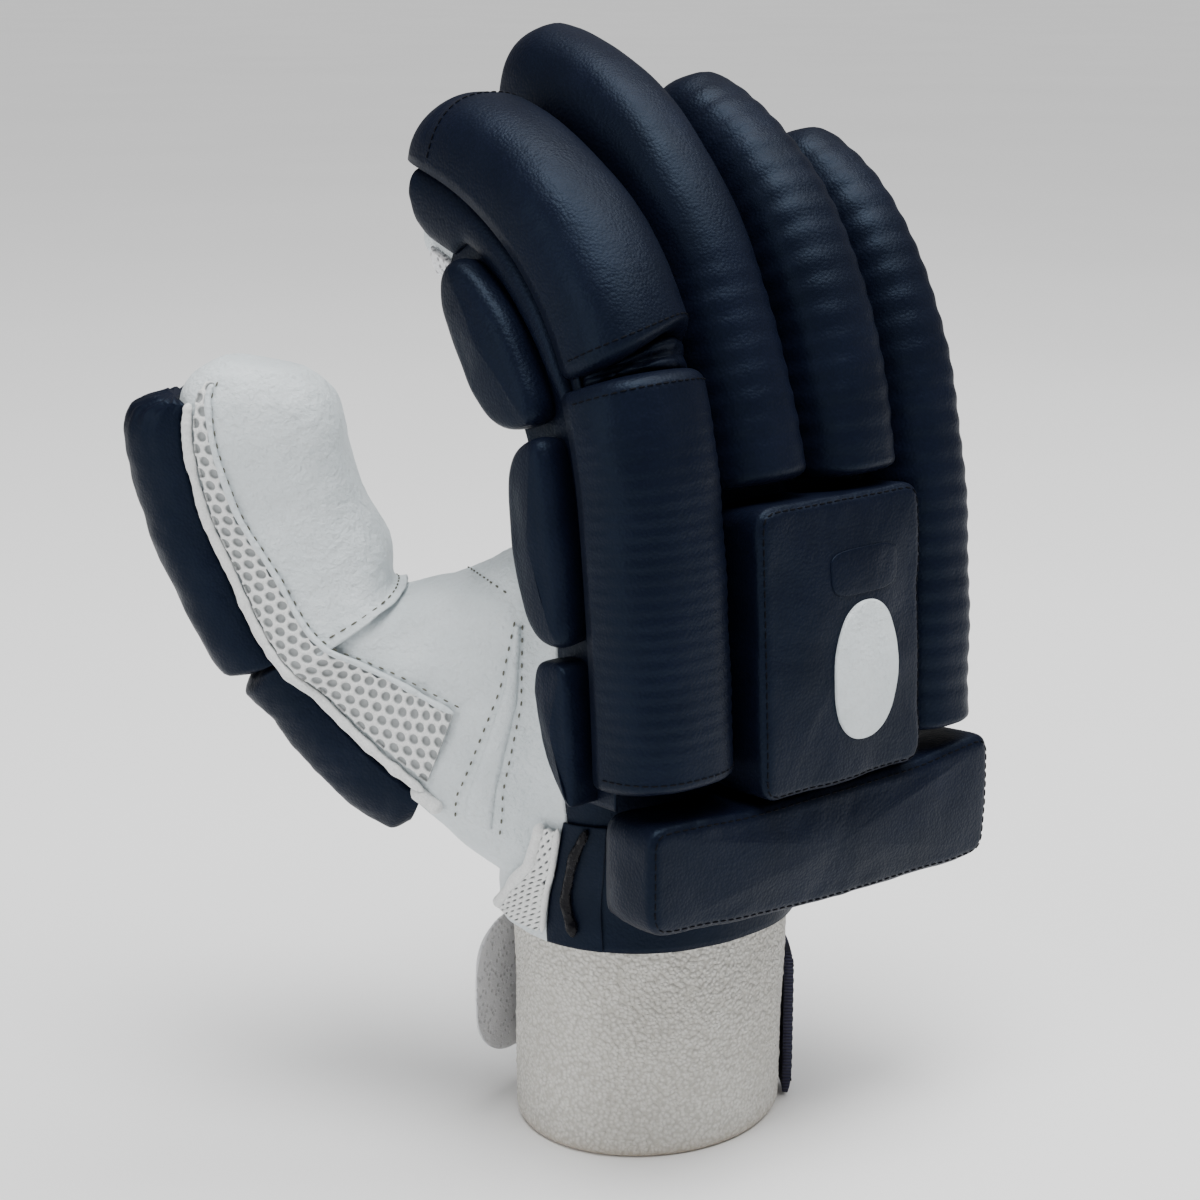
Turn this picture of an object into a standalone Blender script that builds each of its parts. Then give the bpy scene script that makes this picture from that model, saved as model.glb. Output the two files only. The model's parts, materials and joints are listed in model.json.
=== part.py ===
"""Cricket batting glove for the right hand, standing upright on its cuff.

Lengths are millimetres and angles degrees until a mesh is made in metres.
Before the last step the model has its own axes: +X towards the little finger,
-Y out of the back of the hand, +Y out of the palm, +Z towards the fingers.
"""
import math

import bpy
import numpy as np

MM = 0.001
GAP = 0.3

# Cuff, a towelling tube that the glove stands on
CUFF_X = -9.0
CUFF_Y = 9.0
CUFF_HALF_WIDTH = 35.5
CUFF_HALF_DEPTH = 31.8
CUFF_HEIGHT = 64.0
CUFF_WALL = 3.0
CUFF_FLARE = 1.0
CUFF_SLIT = 6.0
CUFF_EASE = 0.9

# Strap round the palm side of the cuff
STRAP_HEIGHT = 40.0
STRAP_RISE = 1.0
STRAP_CLIMB = 10.0
STRAP_THICK = 2.4
STRAP_START = -40.0
STRAP_JOIN = 96.0
TAB_REACH = 32.0
TAB_HEIGHT = 38.0
TAB_CURL = 0.10
TAB_CORNER = 14.0

# Hand, from the wrist to the roots of the fingers
HAND_BOTTOM = 57.0
ROLL_FOOT = 102.0
HAND_TOP = 162.0
BACK_Y = -26.0
HAND_DEPTH = 31.0
HAND_WALL = 1.6
SIDE_WALL_Y = -6.4
INDEX_EDGE = -52.0
MIDDLE_EDGE = -22.0
RING_EDGE = 4.5
LITTLE_EDGE = 32.5
HAND_EDGE = 58.0

# Fingers: length along the back from the foot of the rolls to the tip
INDEX_LENGTH = 171.0
MIDDLE_LENGTH = 191.5
RING_LENGTH = 169.0
LITTLE_LENGTH = 149.0
STALL_FOOT = 60.8
STALL_DEPTH = 25.0
STALL_WALL = 1.6
STALL_INSET = 0.6
ROLL_THICK = 19.0
ROLL_END = 5.0
ROLL_PAST = 1.5
INDEX_ROLL_END = 15.0
INDEX_ROLL_PAST = 9.0
INDEX_ROLL_OVER = 3.0
ROLL_GAP = 0.5

# Ribs pressed into the rolls
RIB_PITCH = 5.5
RIB_RISE = 1.0
FINE_PITCH = 3.3
FINE_RISE = 0.35
RIB_START = 3.0
RIB_COVER = 50.0
FINE_STOP = 6.0

# Bend of each finger: degrees from upright at even shares of its length
BEND = {
    "index": (2.0, 4.4, 6.8, 25.0, 54.0, 78.0),
    "middle": (2.0, 2.5, 15.7, 27.5, 51.0, 84.0),
    "ring": (2.0, 2.3, 6.0, 20.0, 46.0, 73.0),
    "little": (2.0, 3.5, 7.0, 16.0, 38.0, 72.0),
}
LENGTH = {
    "index": INDEX_LENGTH,
    "middle": MIDDLE_LENGTH,
    "ring": RING_LENGTH,
    "little": LITTLE_LENGTH,
}
EDGES = {
    "index": (INDEX_EDGE, MIDDLE_EDGE),
    "middle": (MIDDLE_EDGE, RING_EDGE),
    "ring": (RING_EDGE, LITTLE_EDGE),
    "little": (LITTLE_EDGE, HAND_EDGE),
}
GUIDE_STEPS = 240

# Pads on the back of the hand and the wrist
KNUCKLE_S = 68.0
INDEX_GAP_S = 96.0
INDEX_GAP = 2.5
BLOCK_FOOT = 3.5
BLOCK_OVER = 5.0
HAND_PAD_DROP = 3.7
PAD_ROUND = 2.5
HAND_PAD_THICK = 20.0
HAND_PAD_HEIGHT = 69.5
WRIST_PAD_HEIGHT = 31.0
WRIST_PAD_DROP = 4.0
WRIST_PAD_HORN = 2.5
WRIST_PAD_THICK = 17.0
WRIST_PAD_TAPER = 6.0
WRIST_PAD_LEFT = -54.5
WRIST_PAD_RIGHT = 60.5
BADGE_HEIGHT = 34.0
BADGE_WIDTH = 22.0
BADGE_THICK = 1.2
BADGE_X = 10.5
BADGE_Z = 126.0

# Thumb
THUMB_WIDTH = 37.0
THUMB_DEPTH = 32.0
THUMB_WALL = 1.6
THUMB_PAD_THICK = 13.5
THUMB_BASE_THICK = 11.5
MESH_WALL = 1.0
MESH_LIFT = 0.8
KNIT_WALL = 1.0
PIPING = 2.2
PIPING_ANGLE = 47.0
MESH_START = 53.0

# Pads and strip along the side of the index finger
SIDE_PAD_THICK = 10.0
SIDE_PAD_ROUND = 4.0
STRIP_WIDTH = 16.0
STRIP_BULGE = 3.2
BINDING = 2.6


def guide(finger, s):
    """Point (Y, Z) and bend at s along the back surface of a finger."""
    length = LENGTH[finger]
    shares = np.linspace(0.0, 1.0, GUIDE_STEPS)
    bend = np.radians(np.interp(shares, np.linspace(0.0, 1.0, len(BEND[finger])), BEND[finger]))
    for _ in range(6):
        bend[1:-1] = (bend[:-2] + 2 * bend[1:-1] + bend[2:]) / 4
    step = length / (GUIDE_STEPS - 1)
    y = BACK_Y + np.concatenate([[0.0], np.cumsum(np.sin((bend[1:] + bend[:-1]) / 2) * step)])
    z = ROLL_FOOT + np.concatenate([[0.0], np.cumsum(np.cos((bend[1:] + bend[:-1]) / 2) * step)])
    along = shares * length
    angle = float(np.interp(s, along, bend))
    over = s - min(max(s, 0.0), length)
    point_y = float(np.interp(s, along, y)) + over * math.sin(angle)
    point_z = float(np.interp(s, along, z)) + over * math.cos(angle)
    return point_y, point_z, angle


def on_back(finger, s, x, out):
    """Point at s along a finger, at x across, lifted by out from its back surface."""
    y, z, angle = guide(finger, s)
    return (x, y - math.cos(angle) * out, z + math.sin(angle) * out)


def superellipse(count, power, start=0.0, stop=360.0, closed=True):
    """Unit points round a squared circle."""
    points = []
    steps = count if closed else count - 1
    for i in range(count):
        t = math.radians(start + (stop - start) * i / steps)
        c = math.cos(t)
        s = math.sin(t)
        points.append((math.copysign(abs(c) ** (2 / power), c), math.copysign(abs(s) ** (2 / power), s)))
    return points


def material(name, colour, roughness):
    mat = bpy.data.materials.new(name)
    mat.use_nodes = True
    shader = mat.node_tree.nodes["Principled BSDF"]
    shader.inputs["Base Color"].default_value = (*colour, 1.0)
    shader.inputs["Roughness"].default_value = roughness
    return mat


def make(name, verts, faces, mat):
    """A mesh object from points in millimetres."""
    mesh = bpy.data.meshes.new(name)
    mesh.from_pydata([tuple(MM * c for c in v) for v in verts], [], faces)
    mesh.update()
    mesh.shade_smooth()
    mesh.set_sharp_from_angle(angle=math.radians(50))
    mesh.materials.append(mat)
    obj = bpy.data.objects.new(name, mesh)
    bpy.context.scene.collection.objects.link(obj)
    return obj


def signed_volume(verts, faces):
    total = 0.0
    v = np.array(verts)
    for f in faces:
        for k in range(1, len(f) - 1):
            total += np.dot(v[f[0]], np.cross(v[f[k]], v[f[k + 1]]))
    return total


def solid(name, verts, faces, mat):
    """A closed mesh with its faces turned outwards."""
    if signed_volume(verts, faces) < 0:
        faces = [tuple(reversed(f)) for f in faces]
    return make(name, verts, faces, mat)


def bridge(faces, a, b, count, closed=True):
    """Quads between the ring of count points from index a and the one from b."""
    for i in range(count if closed else count - 1):
        j = (i + 1) % count
        faces.append((a + i, a + j, b + j, b + i))


def fan(faces, verts, start, count, flip):
    """Closes a ring with triangles to its middle."""
    centre = tuple(np.mean(verts[start:start + count], axis=0))
    verts.append(centre)
    c = len(verts) - 1
    for i in range(count):
        j = (i + 1) % count
        faces.append((start + j, start + i, c) if flip else (start + i, start + j, c))


def loft(name, rings, mat):
    """A solid through closed rings, with both ends closed."""
    count = len(rings[0])
    verts = [p for ring in rings for p in ring]
    faces = []
    for k in range(len(rings) - 1):
        bridge(faces, k * count, (k + 1) * count, count)
    fan(faces, verts, 0, count, True)
    fan(faces, verts, (len(rings) - 1) * count, count, False)
    return solid(name, verts, faces, mat)


def tube(name, outer, inner, mat, capped=False):
    """A wall between outer and inner rings, open below and open or closed above."""
    count = len(outer[0])
    verts = [p for ring in outer for p in ring] + [p for ring in inner for p in ring]
    rows = len(outer)
    base = rows * count
    faces = []
    for k in range(rows - 1):
        bridge(faces, k * count, (k + 1) * count, count)
    for k in range(len(inner) - 1):
        bridge(faces, base + (k + 1) * count, base + k * count, count)
    bridge(faces, base, 0, count)
    if capped:
        fan(faces, verts, (rows - 1) * count, count, False)
        fan(faces, verts, base + (len(inner) - 1) * count, count, True)
    else:
        bridge(faces, (rows - 1) * count, base + (len(inner) - 1) * count, count)
    return solid(name, verts, faces, mat)


def panel(name, outer, inner, mat):
    """A wall between two open grids of the same size, with its four edges closed."""
    rows = len(outer)
    count = len(outer[0])
    verts = [p for row in outer for p in row] + [p for row in inner for p in row]
    base = rows * count
    faces = []
    for k in range(rows - 1):
        bridge(faces, k * count, (k + 1) * count, count, False)
        bridge(faces, base + (k + 1) * count, base + k * count, count, False)
        a = k * count
        b = (k + 1) * count
        faces.append((a, b, base + b, base + a))
        faces.append((b + count - 1, a + count - 1, base + a + count - 1, base + b + count - 1))
    last = (rows - 1) * count
    for i in range(count - 1):
        faces.append((i + 1, i, base + i, base + i + 1))
        faces.append((last + i, last + i + 1, base + last + i + 1, base + last + i))
    return solid(name, verts, faces, mat)


# Layers of a pad: height as a share of its thickness, inset as a share of its edge round
PAD_LAYERS = ((0.0, 0.35), (0.14, 0.0), (0.55, 0.0), (0.84, 0.32), (1.0, 1.0))


def pad(name, outline, thick, round_over, place, mat, crown=0.0):
    """A stuffed pad: its outline raised in layers that turn in towards the top."""
    middle = np.mean(outline, axis=0)
    reach = float(np.mean(np.linalg.norm(np.array(outline) - middle, axis=1)))
    rings = []
    for height, inset in PAD_LAYERS:
        scale = 1.0 - inset * round_over / reach
        rings.append([place(*(middle + (np.array(p) - middle) * scale), height * thick) for p in outline])
    obj_verts = [p for ring in rings for p in ring]
    count = len(outline)
    faces = []
    for k in range(len(rings) - 1):
        bridge(faces, k * count, (k + 1) * count, count)
    obj_verts.append(place(middle[0], middle[1], 0.0))
    bottom = len(obj_verts) - 1
    obj_verts.append(place(middle[0], middle[1], thick + crown))
    top = len(obj_verts) - 1
    last = (len(rings) - 1) * count
    for i in range(count):
        j = (i + 1) % count
        faces.append((j, i, bottom))
        faces.append((last + i, last + j, top))
    return solid(name, obj_verts, faces, mat)


def rounded(points, radius, steps=3):
    """A polygon with its corners turned by arcs of about the radius."""
    out = []
    n = len(points)
    for i in range(n):
        p = np.array(points[i], float)
        a = np.array(points[i - 1], float) - p
        b = np.array(points[(i + 1) % n], float) - p
        la = np.linalg.norm(a)
        lb = np.linalg.norm(b)
        r = min(radius, 0.45 * la, 0.45 * lb)
        p0 = p + a / la * r
        p2 = p + b / lb * r
        for k in range(steps):
            t = k / (steps - 1)
            out.append(tuple((1 - t) ** 2 * p0 + 2 * t * (1 - t) * p + t * t * p2))
    return out


# Rolls along the fingers

ROLL_SIDES = 10
ROLL_FOOT_ROUND = 3.0
ROLL_STEP = 9.0
ROLL_POWER = 2.6


def roll_ring(finger, s, left, right, height, base=0.0):
    """The D-shaped section of a roll: flat under, crowned above."""
    half = (right - left) / 2
    centre = (right + left) / 2
    return [on_back(finger, s, centre + half * u, base + max(v, 0.0) * height)
            for u, v in superellipse(ROLL_SIDES, ROLL_POWER, 0.0, 180.0, closed=False)]


def end_share(s, stop, length):
    """Height share that rounds a roll off towards its end at stop."""
    left = (stop - s) / length
    if left >= 1.0:
        return 1.0
    return max(0.0, 1.0 - (1.0 - max(left, 0.0)) ** 2) ** 0.5


def roll(name, finger, start, stop, left, right, ribs, mat, end=ROLL_END, blunt=0.8):
    """A stuffed roll; ribs gives pitch, rise and the stretch of the roll they cover."""
    pitch, rise, rib_start, rib_stop = ribs
    stations = [start, start + ROLL_FOOT_ROUND * 0.4, start + ROLL_FOOT_ROUND]
    s = stations[-1]
    while s < stop - end:
        step = pitch / 2 if rib_start <= s < rib_stop else ROLL_STEP
        s += step
        stations.append(min(s, stop - end))
    for share in (0.45, 0.75, 0.93, 1.0):
        stations.append(stop - end + share * end)
    rings = []
    for k, s in enumerate(stations):
        scale = end_share(s, stop, end)
        foot = min(1.0, 0.55 + 0.45 * (s - start) / ROLL_FOOT_ROUND)
        h = ROLL_THICK * max(blunt, scale) * foot
        if rib_start <= s < rib_stop and k % 2:
            h -= rise
        narrow = 1.0 - 0.22 * (1.0 - scale)
        centre = (left + right) / 2
        half = (right - left) / 2 * narrow
        rings.append(roll_ring(finger, s, centre - half, centre + half, h))
    return loft(name, rings, mat)


# Hand: sections from the wrist to the finger roots, as shares
# rise: share of the way up; centre, width and depth: share of the way from the cuff's to the hand's;
# power: squareness
HAND_SECTIONS = (
    (0.00, 0.00, 0.00, 0.00, 2.1),
    (0.08, 0.02, 0.05, 0.00, 2.1),
    (0.22, 0.20, 0.25, 0.20, 2.3),
    (0.40, 0.45, 0.50, 0.55, 2.7),
    (0.62, 0.75, 0.80, 0.90, 3.2),
    (0.82, 0.92, 0.95, 1.04, 3.8),
    (1.00, 1.00, 1.00, 1.15, 4.2),
)
HAND_SIDES = 24


def back_of_hand(z):
    """Y of the back of the hand at a height."""
    cuff_back = CUFF_Y - CUFF_HALF_DEPTH - CUFF_FLARE - CUFF_EASE - HAND_WALL
    if z < ROLL_FOOT:
        share = math.sin(math.pi / 2 * (z - HAND_BOTTOM) / (ROLL_FOOT - HAND_BOTTOM))
        return cuff_back + share * (BACK_Y + GAP - cuff_back)
    return max(guide(finger, z - ROLL_FOOT)[0] for finger in BEND) + GAP


def hand_rings(out, stretch=0.0):
    """Rings of the hand, lifted by out; stretch lengthens both ends."""
    over = CUFF_FLARE + CUFF_EASE + HAND_WALL
    sizes = (
        (CUFF_X, CUFF_HALF_WIDTH + over, CUFF_HALF_DEPTH + over),
        ((INDEX_EDGE + HAND_EDGE) / 2, (HAND_EDGE - INDEX_EDGE) / 2 - ROLL_GAP, HAND_DEPTH / 2),
    )
    rings = []
    last = len(HAND_SECTIONS) - 1
    for k, (rise, centre, width, depth, power) in enumerate(HAND_SECTIONS):
        z = HAND_BOTTOM + rise * (HAND_TOP - HAND_BOTTOM)
        x, half_width, half_depth = (
            low + share * (high - low) for low, high, share in zip(*sizes, (centre, width, depth)))
        y = back_of_hand(z) + half_depth
        z += stretch * ((k == last) - (k == 0))
        rings.append([(x + (half_width + out) * u, y + (half_depth + out) * v, z)
                      for u, v in superellipse(HAND_SIDES, power)])
    return rings


# Thumb and its root in the hand: shares of the reach from the root to the tip in X, Y and Z,
# tilt of the section's long axis, and its half-sizes as shares of the thumb's width and depth
THUMB_ROOT = (-22.0, -5.0, 107.0)
THUMB_REACH = (-57.0, 82.0, 88.0)
THUMB_SECTIONS = (
    (0.000, 0.000, 0.000, 0.0, 2.32, 0.94),
    (0.316, 0.220, 0.057, 4.0, 2.43, 0.86),
    (0.490, 0.409, 0.135, 18.0, 1.92, 0.98),
    (0.602, 0.593, 0.191, 38.0, 1.49, 1.04),
    (0.810, 0.812, 0.275, 60.0, 0.86, 1.02),
    (0.850, 0.900, 0.443, 76.0, 1.00, 1.00),
    (0.928, 0.977, 0.625, 86.0, 1.00, 1.00),
    (0.974, 0.996, 0.795, 92.0, 1.00, 0.98),
    (0.982, 0.996, 0.898, 96.0, 0.93, 0.88),
    (0.982, 0.987, 0.955, 98.0, 0.74, 0.70),
    (0.982, 0.977, 0.994, 99.0, 0.46, 0.44),
)
THUMB_BACK = (-0.77, 0.64, 0.0)
THUMB_SIDE = (-0.64, -0.77, 0.0)
THUMB_SIDES = 20
THUMB_POWER = 2.9
HEM_ROW = 4.1
HEM_LAP = 0.3
THUMB_PAD_SPREAD = 0.72
PAD_BED = 0.6
MESH_FOOT_ROW = 2.15
MESH_END_ROW = 8.8
PIPING_END_ROW = 7.9
THUMB_CAP_ROW = 9.7
MESH_EDGE = ((2.2, 4.0, 6.0, 8.6), (86.0, 86.0, 74.0, 62.0))


def thumb_frame(row, out=0.0):
    """Centre, long axis, side axis and half-sizes at a row of the thumb's table, or between rows."""
    low = min(int(row), len(THUMB_SECTIONS) - 2)
    share = row - low
    a = np.array(THUMB_SECTIONS[low])
    b = np.array(THUMB_SECTIONS[low + 1])
    c = a + (b - a) * share
    centre = np.array(THUMB_ROOT) + np.array(THUMB_REACH) * c[:3]
    tilt = math.radians(c[3])
    long_axis = math.cos(tilt) * np.array((0.0, 0.0, -1.0)) + math.sin(tilt) * np.array(THUMB_BACK)
    return centre, long_axis, np.array(THUMB_SIDE), c[4] * THUMB_WIDTH / 2 + out, c[5] * THUMB_DEPTH / 2 + out


def thumb_point(row, angle, out=0.0):
    """Point on the thumb: angle 0 is its back, 90 its side by the fingers' backs."""
    centre, long_axis, side, half_long, half_side = thumb_frame(row, out)
    c = math.cos(math.radians(angle))
    s = math.sin(math.radians(angle))
    u = math.copysign(abs(c) ** (2 / THUMB_POWER), c)
    v = math.copysign(abs(s) ** (2 / THUMB_POWER), s)
    return tuple(centre + long_axis * half_long * u + side * half_side * v)


def thumb_rings(rows, out):
    return [[thumb_point(row, 360.0 * i / THUMB_SIDES, out) for i in range(THUMB_SIDES)] for row in rows]


def cutter(obj):
    obj.hide_render = True
    obj.display_type = "WIRE"
    return obj


def boolean(obj, other, operation):
    mod = obj.modifiers.new(operation.lower(), "BOOLEAN")
    mod.operation = operation
    mod.solver = "EXACT"
    mod.object = other


def box(name, low, high, mat):
    rings = [[(low[0], low[1], z), (high[0], low[1], z), (high[0], high[1], z), (low[0], high[1], z)]
             for z in (low[2], high[2])]
    return loft(name, rings, mat)


FAR = 200.0


def make_hand(leather, navy):
    """Palm with the root of the thumb, and the panel on the back of the hand."""
    root_rows = [0, 1, 2, 3, 3.5, HEM_ROW - HEM_LAP, 4, HEM_ROW]
    hand_inner = cutter(loft("cut_hand", hand_rings(-HAND_WALL, 2.0), leather))
    root_inner = cutter(loft("cut_root", thumb_rings(root_rows[:-1] + [HEM_ROW + 0.15], -HAND_WALL), leather))
    root = cutter(loft("join_root", thumb_rings(root_rows, 0.0), leather))
    behind = cutter(box("cut_back", (-FAR, -FAR, -FAR), (FAR, SIDE_WALL_Y, 2 * FAR), leather))
    palm = loft("palm_body", hand_rings(0.0), leather)
    boolean(palm, behind, "DIFFERENCE")
    boolean(palm, root, "UNION")
    boolean(palm, hand_inner, "DIFFERENCE")
    boolean(palm, root_inner, "DIFFERENCE")
    ahead = cutter(box("cut_palm", (-FAR, SIDE_WALL_Y - GAP, -FAR), (FAR, FAR, 2 * FAR), leather))
    back = loft("back_panel", hand_rings(0.0), navy)
    boolean(back, hand_inner, "DIFFERENCE")
    boolean(back, ahead, "DIFFERENCE")


def make_cuff(terry, navy, tab_grey):
    """Towelling cuff with its slit, the strap over it and the strap's tab."""
    slit = math.degrees(CUFF_SLIT / CUFF_HALF_WIDTH) / 2
    count = 33
    rows = (0.0, 0.5, 1.0)

    def ring(share, out):
        flare = CUFF_FLARE * share + out
        return [(CUFF_X + (CUFF_HALF_WIDTH + flare) * math.cos(t), CUFF_Y + (CUFF_HALF_DEPTH + flare) * math.sin(t),
                 share * CUFF_HEIGHT)
                for t in np.radians(np.linspace(90 + slit, 450 - slit, count))]

    panel("cuff", [ring(r, 0.0) for r in rows], [ring(r, -CUFF_WALL) for r in rows], terry)

    clear = GAP + CUFF_FLARE
    arc = []
    turns = np.linspace(STRAP_START, STRAP_JOIN, 19)
    for t in np.radians(turns):
        nx = math.cos(t) / CUFF_HALF_WIDTH
        ny = math.sin(t) / CUFF_HALF_DEPTH
        n = math.hypot(nx, ny)
        arc.append((CUFF_X + CUFF_HALF_WIDTH * math.cos(t), CUFF_Y + CUFF_HALF_DEPTH * math.sin(t), nx / n, ny / n))

    def strap_grid(out):
        grid = []
        for k, (x, y, nx, ny) in enumerate(arc):
            low = STRAP_RISE + STRAP_CLIMB * k / (len(arc) - 1)
            grid.append([(x + nx * out, y + ny * out, low), (x + nx * out, y + ny * out, low + STRAP_HEIGHT)])
        return grid

    panel("cuff_strap", strap_grid(clear + STRAP_THICK), strap_grid(clear), navy)
    x, y, nx, ny = arc[-1]
    out = np.array((nx, ny))
    along = np.array((-ny, nx))
    start = np.array((x, y)) + out * clear + along * GAP
    inner = []
    outer = []
    for share in (0.0, 0.3, 0.6, 0.75, 0.88, 0.97, 1.0):
        reach = share * TAB_REACH
        past = max(0.0, reach - (TAB_REACH - TAB_CORNER)) / TAB_CORNER
        cut = TAB_CORNER * (1.0 - math.sqrt(max(0.0, 1.0 - past ** 2)))
        p = start + along * reach - out * TAB_CURL * reach * share
        q = p + out * STRAP_THICK
        low = STRAP_RISE + STRAP_CLIMB + cut
        high = STRAP_RISE + STRAP_CLIMB + TAB_HEIGHT - cut
        for grid, (px, py) in ((inner, p), (outer, q)):
            grid.append([(px, py, low), (px, py, (low + high) / 2), (px, py, high)])
    panel("strap_tab", outer, inner, tab_grey)


STALL_SIDES = 12
STALL_POWER = 3.0
STALL_TIP = ((0.94, 0.0, 1.0), (1.0, 2.0, 0.90), (1.0, 5.0, 0.60))


def stall_point(finger, s, angle, out, scale=1.0):
    """Point round a finger stall: angle 90 faces the roll, 180 the thumb side."""
    left, right = EDGES[finger]
    half = (right - left) / 2 - STALL_INSET
    deep = STALL_DEPTH / 2
    c = math.cos(math.radians(angle))
    v = math.sin(math.radians(angle))
    u = math.copysign(abs(c) ** (2 / STALL_POWER), c)
    v = math.copysign(abs(v) ** (2 / STALL_POWER), v)
    return on_back(finger, s, (left + right) / 2 + (half * scale + out) * u, -GAP - deep + (deep * scale + out) * v)


def make_stalls(leather, knit):
    """Four hollow leather stalls, side by side above the hand, and the knit patch by the index tip."""
    angles = [360.0 * i / STALL_SIDES for i in range(STALL_SIDES)]
    for finger in EDGES:
        length = LENGTH[finger]
        rows = [(STALL_FOOT + share * (length - STALL_FOOT), 1.0) for share in (0.0, 0.2, 0.4, 0.56, 0.7, 0.84)]
        rows += [(share * length + past, scale) for share, past, scale in STALL_TIP]
        outer = [[stall_point(finger, s, a, 0.0, scale) for a in angles] for s, scale in rows]
        rows = rows[:-2] + [(s - STALL_WALL * share, scale) for (s, scale), share in zip(rows[-2:], (0.6, 1.1))]
        inner = [[stall_point(finger, s, a, -STALL_WALL, scale) for a in angles] for s, scale in rows]
        for grid in (outer, inner):
            grid[0] = [(x, y, HAND_TOP + GAP) for x, y, _ in grid[0]]
        tube(finger + "_stall", outer, inner, leather, capped=True)
    rows = [share * INDEX_LENGTH for share in (0.89, 0.93, 0.965)]
    turns = (193.0, 208.0, 222.0, 236.0)
    panel("knit_patch", [[stall_point("index", s, a, GAP + KNIT_WALL) for a in turns] for s in rows],
          [[stall_point("index", s, a, GAP) for a in turns] for s in rows], knit)


def make_rolls(navy):
    """Stuffed rolls on the backs of the fingers, ribbed where they are pressed."""
    plain = (RIB_PITCH, 0.0, 0.0, 0.0)
    side = ROLL_GAP / 2
    roll("index_roll", "index", INDEX_GAP_S + INDEX_GAP, INDEX_LENGTH + INDEX_ROLL_PAST,
         INDEX_EDGE - INDEX_ROLL_OVER, MIDDLE_EDGE - side, plain, navy, end=INDEX_ROLL_END, blunt=0.2)
    roll("middle_roll", "middle", KNUCKLE_S, MIDDLE_LENGTH + ROLL_PAST, MIDDLE_EDGE + side, RING_EDGE - side,
         (RIB_PITCH, RIB_RISE, KNUCKLE_S + RIB_START, KNUCKLE_S + RIB_COVER), navy)
    roll("ring_roll", "ring", KNUCKLE_S, RING_LENGTH + ROLL_PAST, RING_EDGE + side, LITTLE_EDGE - side,
         (RIB_PITCH, RIB_RISE, KNUCKLE_S + RIB_START, RING_LENGTH), navy)
    roll("little_roll", "little", 1.0, LITTLE_LENGTH + ROLL_PAST, LITTLE_EDGE + side, HAND_EDGE - side,
         (RIB_PITCH, RIB_RISE, RIB_START, LITTLE_LENGTH), navy)
    roll("index_block", "index", BLOCK_FOOT, INDEX_GAP_S, INDEX_EDGE - BLOCK_OVER, MIDDLE_EDGE - side,
         (FINE_PITCH, FINE_RISE, BLOCK_FOOT + RIB_START, INDEX_GAP_S - FINE_STOP), navy)
    middle = (INDEX_EDGE + MIDDLE_EDGE) / 2
    half = (MIDDLE_EDGE - INDEX_EDGE) / 2 - ROLL_GAP
    rings = []
    for share, fold in ((0.2, 0.62), (0.5, 0.74), (0.8, 0.66)):
        s = INDEX_GAP_S + share * INDEX_GAP
        rings.append([on_back("index", s, middle + half * u, max(v, 0.0) * ROLL_THICK * fold)
                      for u, v in superellipse(ROLL_SIDES, 2.2, 0.0, 180.0, closed=False)])
    loft("knuckle_tuck", rings, navy)


def make_back_pads(navy, white):
    """The square pad on the back of the hand with its badge, and the wrist pad."""
    left = MIDDLE_EDGE + ROLL_GAP
    right = LITTLE_EDGE - ROLL_GAP

    def on_hand(x, z, out):
        return min((on_back(finger, z - ROLL_FOOT, x, out) for finger in ("middle", "ring")), key=lambda p: p[1])

    low = ROLL_FOOT - HAND_PAD_DROP
    high = low + HAND_PAD_HEIGHT
    corners = [(left, low), (right, low), (right, high), (left, high)]
    pad("hand_pad", rounded(corners, 6.0), HAND_PAD_THICK, PAD_ROUND, on_hand, navy)
    oval = [(BADGE_X + BADGE_WIDTH / 2 * u, BADGE_Z + BADGE_HEIGHT / 2 * v) for u, v in superellipse(16, 2.2)]

    def on_pad(x, z, out):
        return on_hand(x, z, HAND_PAD_THICK + 2 * GAP + out)

    pad("badge", oval, BADGE_THICK, 0.6, on_pad, white)

    def on_wrist(x, z, out):
        return (x, min(back_of_hand(HAND_BOTTOM), BACK_Y) - GAP - out, z)

    top = ROLL_FOOT - WRIST_PAD_DROP
    bottom = top - WRIST_PAD_HEIGHT
    middle = (WRIST_PAD_LEFT + WRIST_PAD_RIGHT) / 2
    corners = [(WRIST_PAD_LEFT, bottom + WRIST_PAD_TAPER), (middle, bottom + 0.15 * WRIST_PAD_TAPER),
               (WRIST_PAD_RIGHT, bottom),
               (WRIST_PAD_RIGHT, top + WRIST_PAD_HORN), (right + ROLL_GAP, top), (left, top),
               (WRIST_PAD_LEFT, top + WRIST_PAD_HORN)]
    pad("wrist_pad", rounded(corners, 6.0), WRIST_PAD_THICK, PAD_ROUND, on_wrist, navy)


# Side pads: places along the index finger as shares of its length, and across as shares of the strip's width
SIDE_PADS = (
    ((0.850, -0.62), (0.865, -1.05), (0.835, -1.55), (0.745, -1.80), (0.640, -1.84), (0.565, -1.68),
     (0.530, -1.30), (0.525, -0.42)),
    ((0.515, -0.38), (0.510, -1.05), (0.470, -1.36), (0.405, -1.50), (0.330, -1.46), (0.250, -1.22),
     (0.215, -0.90), (0.210, -0.26)),
    ((0.200, -0.26), (0.198, -0.95), (0.160, -1.10), (0.110, -1.02), (0.045, -0.80), (-0.005, -0.45),
     (-0.012, -0.20)),
)
# Strip between the index roll and the side pads: place along, and its far edge across
STRIP_ROWS = (
    (0.045, -0.14), (0.20, -0.16), (0.38, -0.18), (0.52, -0.26), (0.60, -0.40), (0.70, -0.52), (0.80, -0.56),
    (0.865, -0.62), (0.895, -0.95), (0.955, -0.98), (1.000, -0.85), (1.015, -0.60),
)
STRIP_NEAR = -0.04


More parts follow.
